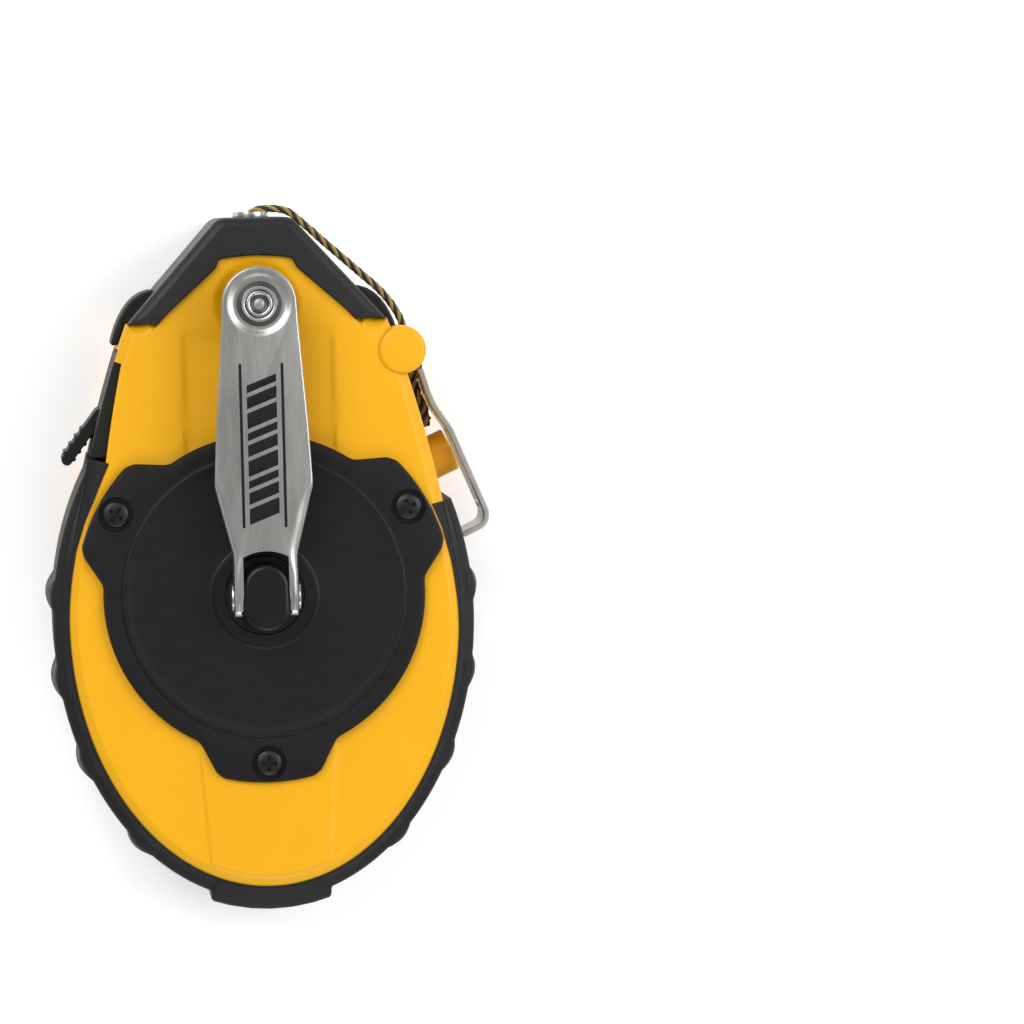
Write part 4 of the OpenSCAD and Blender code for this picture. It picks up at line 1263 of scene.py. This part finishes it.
def make_knot():
    pieces = []
    pivot = Vector((HOOK_PIVOT.x, HOOK_PIVOT.y, MID_Z))

    def rope(name, route, pitch, radius=0.42, stands_for=()):
        path = smooth_path([pivot + Vector(p) for p in route], 0.3)
        points, faces, owner = twisted(path, radius, 4, pitch, 0.46)
        pieces.append(piece(name, points, faces, "hook", "line_braid", stands_for,
                            (GOLD_YARN, BLACK_YARN), 60, strand_colours(owner)))

    # the line comes in, wraps itself three times and goes through the eye
    rope("line_knot_loop", [(-0.9, 0.9, 0.3), (-0.2, 0.4, 0.9), (0.25, -0.6, 0.9), (0.2, -1.6, 0.5),
                            (-0.2, -2.6, 0.1), (-0.6, -3.2, 0)], pitch=4.2, stands_for=["line_knot"])
    turns = []
    for k in range(29):
        done = k / 28
        a = math.tau * 3 * done
        turns.append((-1.35 + 0.9 * math.cos(a) + 0.5 * (done - 0.5),
                      -0.6 - 2.2 * done + 0.25 * math.cos(a), 0.95 * math.sin(a)))
    rope("line_knot_wraps", turns, pitch=3.2)
    for s, label in ((1, "upper"), (-1, "lower")):
        route = [(-1.4, -1.9, s * 0.7), (-1.2 + s * 0.15, -2.9, s), (-0.8 - s * 0.2, -4.2, s * 1.1),
                 (-0.3 - s * 0.3, -6, s), (0.2 + s * 0.25, -7.8, s * 1.15),
                 (0.9 + s * 0.35, -9.6, s * 0.95), (1.5 - s * 0.1, -11.4, s * 1.1),
                 (1.9 - s * 0.25, -12.6 - s * 0.5, s)]
        rope(f"line_tail_{label}", route, pitch=5.2, radius=0.44)
    return pieces


make_hook()
KNOT = make_knot()

# ---------- the CAD's own pieces: rounded edges and finishes ----------

TAB_ROOT, TAB_END = Vector((-31.6, 36.4)), Vector((-38.4, 27.4))


def make_tab_ridges():
    """Grip ridges across both faces of the door's tab, near its free end."""
    u = (TAB_END - TAB_ROOT).normalized()
    n = Vector((u.y, -u.x))
    for k in range(4):
        for s, label in ((1, "outer"), (-1, "inner")):
            c = TAB_END - u * (0.9 + 1.9 * k) + n * s * 0.95
            rings = []
            for d, z in ((0.3, -7.6), (0.0, -7.3), (0.0, 7.3), (0.3, 7.6)):
                r = 0.5 - d
                rings.append([(c.x + r * math.cos(a), c.y + r * math.sin(a), MID_Z + z) for a in
                              (math.tau * j / 16 for j in range(16))])
            piece(f"door_tab_ridge_{label}_{k + 1}", *loft(rings), "door", "door_plastic")


make_tab_ridges()

ROUNDED = {"corner_pads": 0.5, "hook_post": 0.5, "chalk_door": 0.4, "crank_hub": 0.3, "line_guide": 0.15,
           "case_screws": 0.15, "knob_washer": 0.1, "spool": 0.25, "door_seal": 0.15}


def dress(name, obj):
    """The node's finish, and rounded edges where it can be seen closely. Its vertices stay where they are."""
    obj.data.materials.clear()
    obj.data.materials.append(SLOT_MATERIAL[SLOT_OF[name]])
    if obj.hide_render:
        return
    weld = obj.modifiers.new("weld", "WELD")
    weld.merge_threshold = 2e-6
    if name in ROUNDED:
        flat = obj.modifiers.new("flat", "DECIMATE")
        flat.decimate_type = "DISSOLVE"
        flat.angle_limit = math.radians(1.0)
        edge = obj.modifiers.new("edge", "BEVEL")
        edge.width = ROUNDED[name] * MM
        edge.segments = 3
        edge.limit_method = "ANGLE"
        edge.angle_limit = math.radians(32)
        edge.harden_normals = False
    normals = obj.modifiers.new("normals", "WEIGHTED_NORMAL")
    normals.keep_sharp = True
    normals.weight = 90


for node_name, node_object in frame["nodes"].items():
    dress(node_name, node_object)

# ---------- floor and light ----------


def lit_floor():
    """A pale sheet lit a little from below, so that the soft shadows stay light."""
    m = moulded("pale_floor", (0.97, 0.97, 0.97), 0.6, 4, 0.002, mottle=0.004, spread=0.02)
    shader = m.node_tree.nodes["Principled BSDF"]
    shader.inputs["Emission Color"].default_value = (1, 1, 1, 1)
    shader.inputs["Emission Strength"].default_value = 0.2
    return m


def make_stage():
    floor = piece("floor", [(-1500, -1500, 0), (1500, -1500, 0), (1500, 1500, 0), (-1500, 1500, 0)],
                  [(0, 1, 2, 3)], None, "shell_plastic", materials=(lit_floor(),))
    world = bpy.data.worlds.new("world")
    bpy.context.scene.world = world
    world.use_nodes = True
    background = world.node_tree.nodes["Background"]
    background.inputs["Color"].default_value = (1, 1, 1, 1)
    background.inputs["Strength"].default_value = 0.45
    for name, place, size, power in (("key", (-420, 520, 780), (600, 600), 5.7),
                                     ("fill", (560, 160, 560), (520, 520), 3.3),
                                     ("foot", (60, -700, 520), (620, 300), 2.0)):
        data = bpy.data.lights.new(name, "AREA")
        data.shape = "RECTANGLE"
        data.size, data.size_y = size[0] * MM, size[1] * MM
        data.energy = power
        light = bpy.data.objects.new(name, data)
        light.location = Vector(place) * MM
        light.rotation_mode = "QUATERNION"
        light.rotation_quaternion = (Vector((20, 5, 20)) - Vector(place)).to_track_quat("-Z", "Y")
        bpy.context.scene.collection.objects.link(light)
    bpy.context.scene.view_settings.view_transform = "Standard"


make_stage()
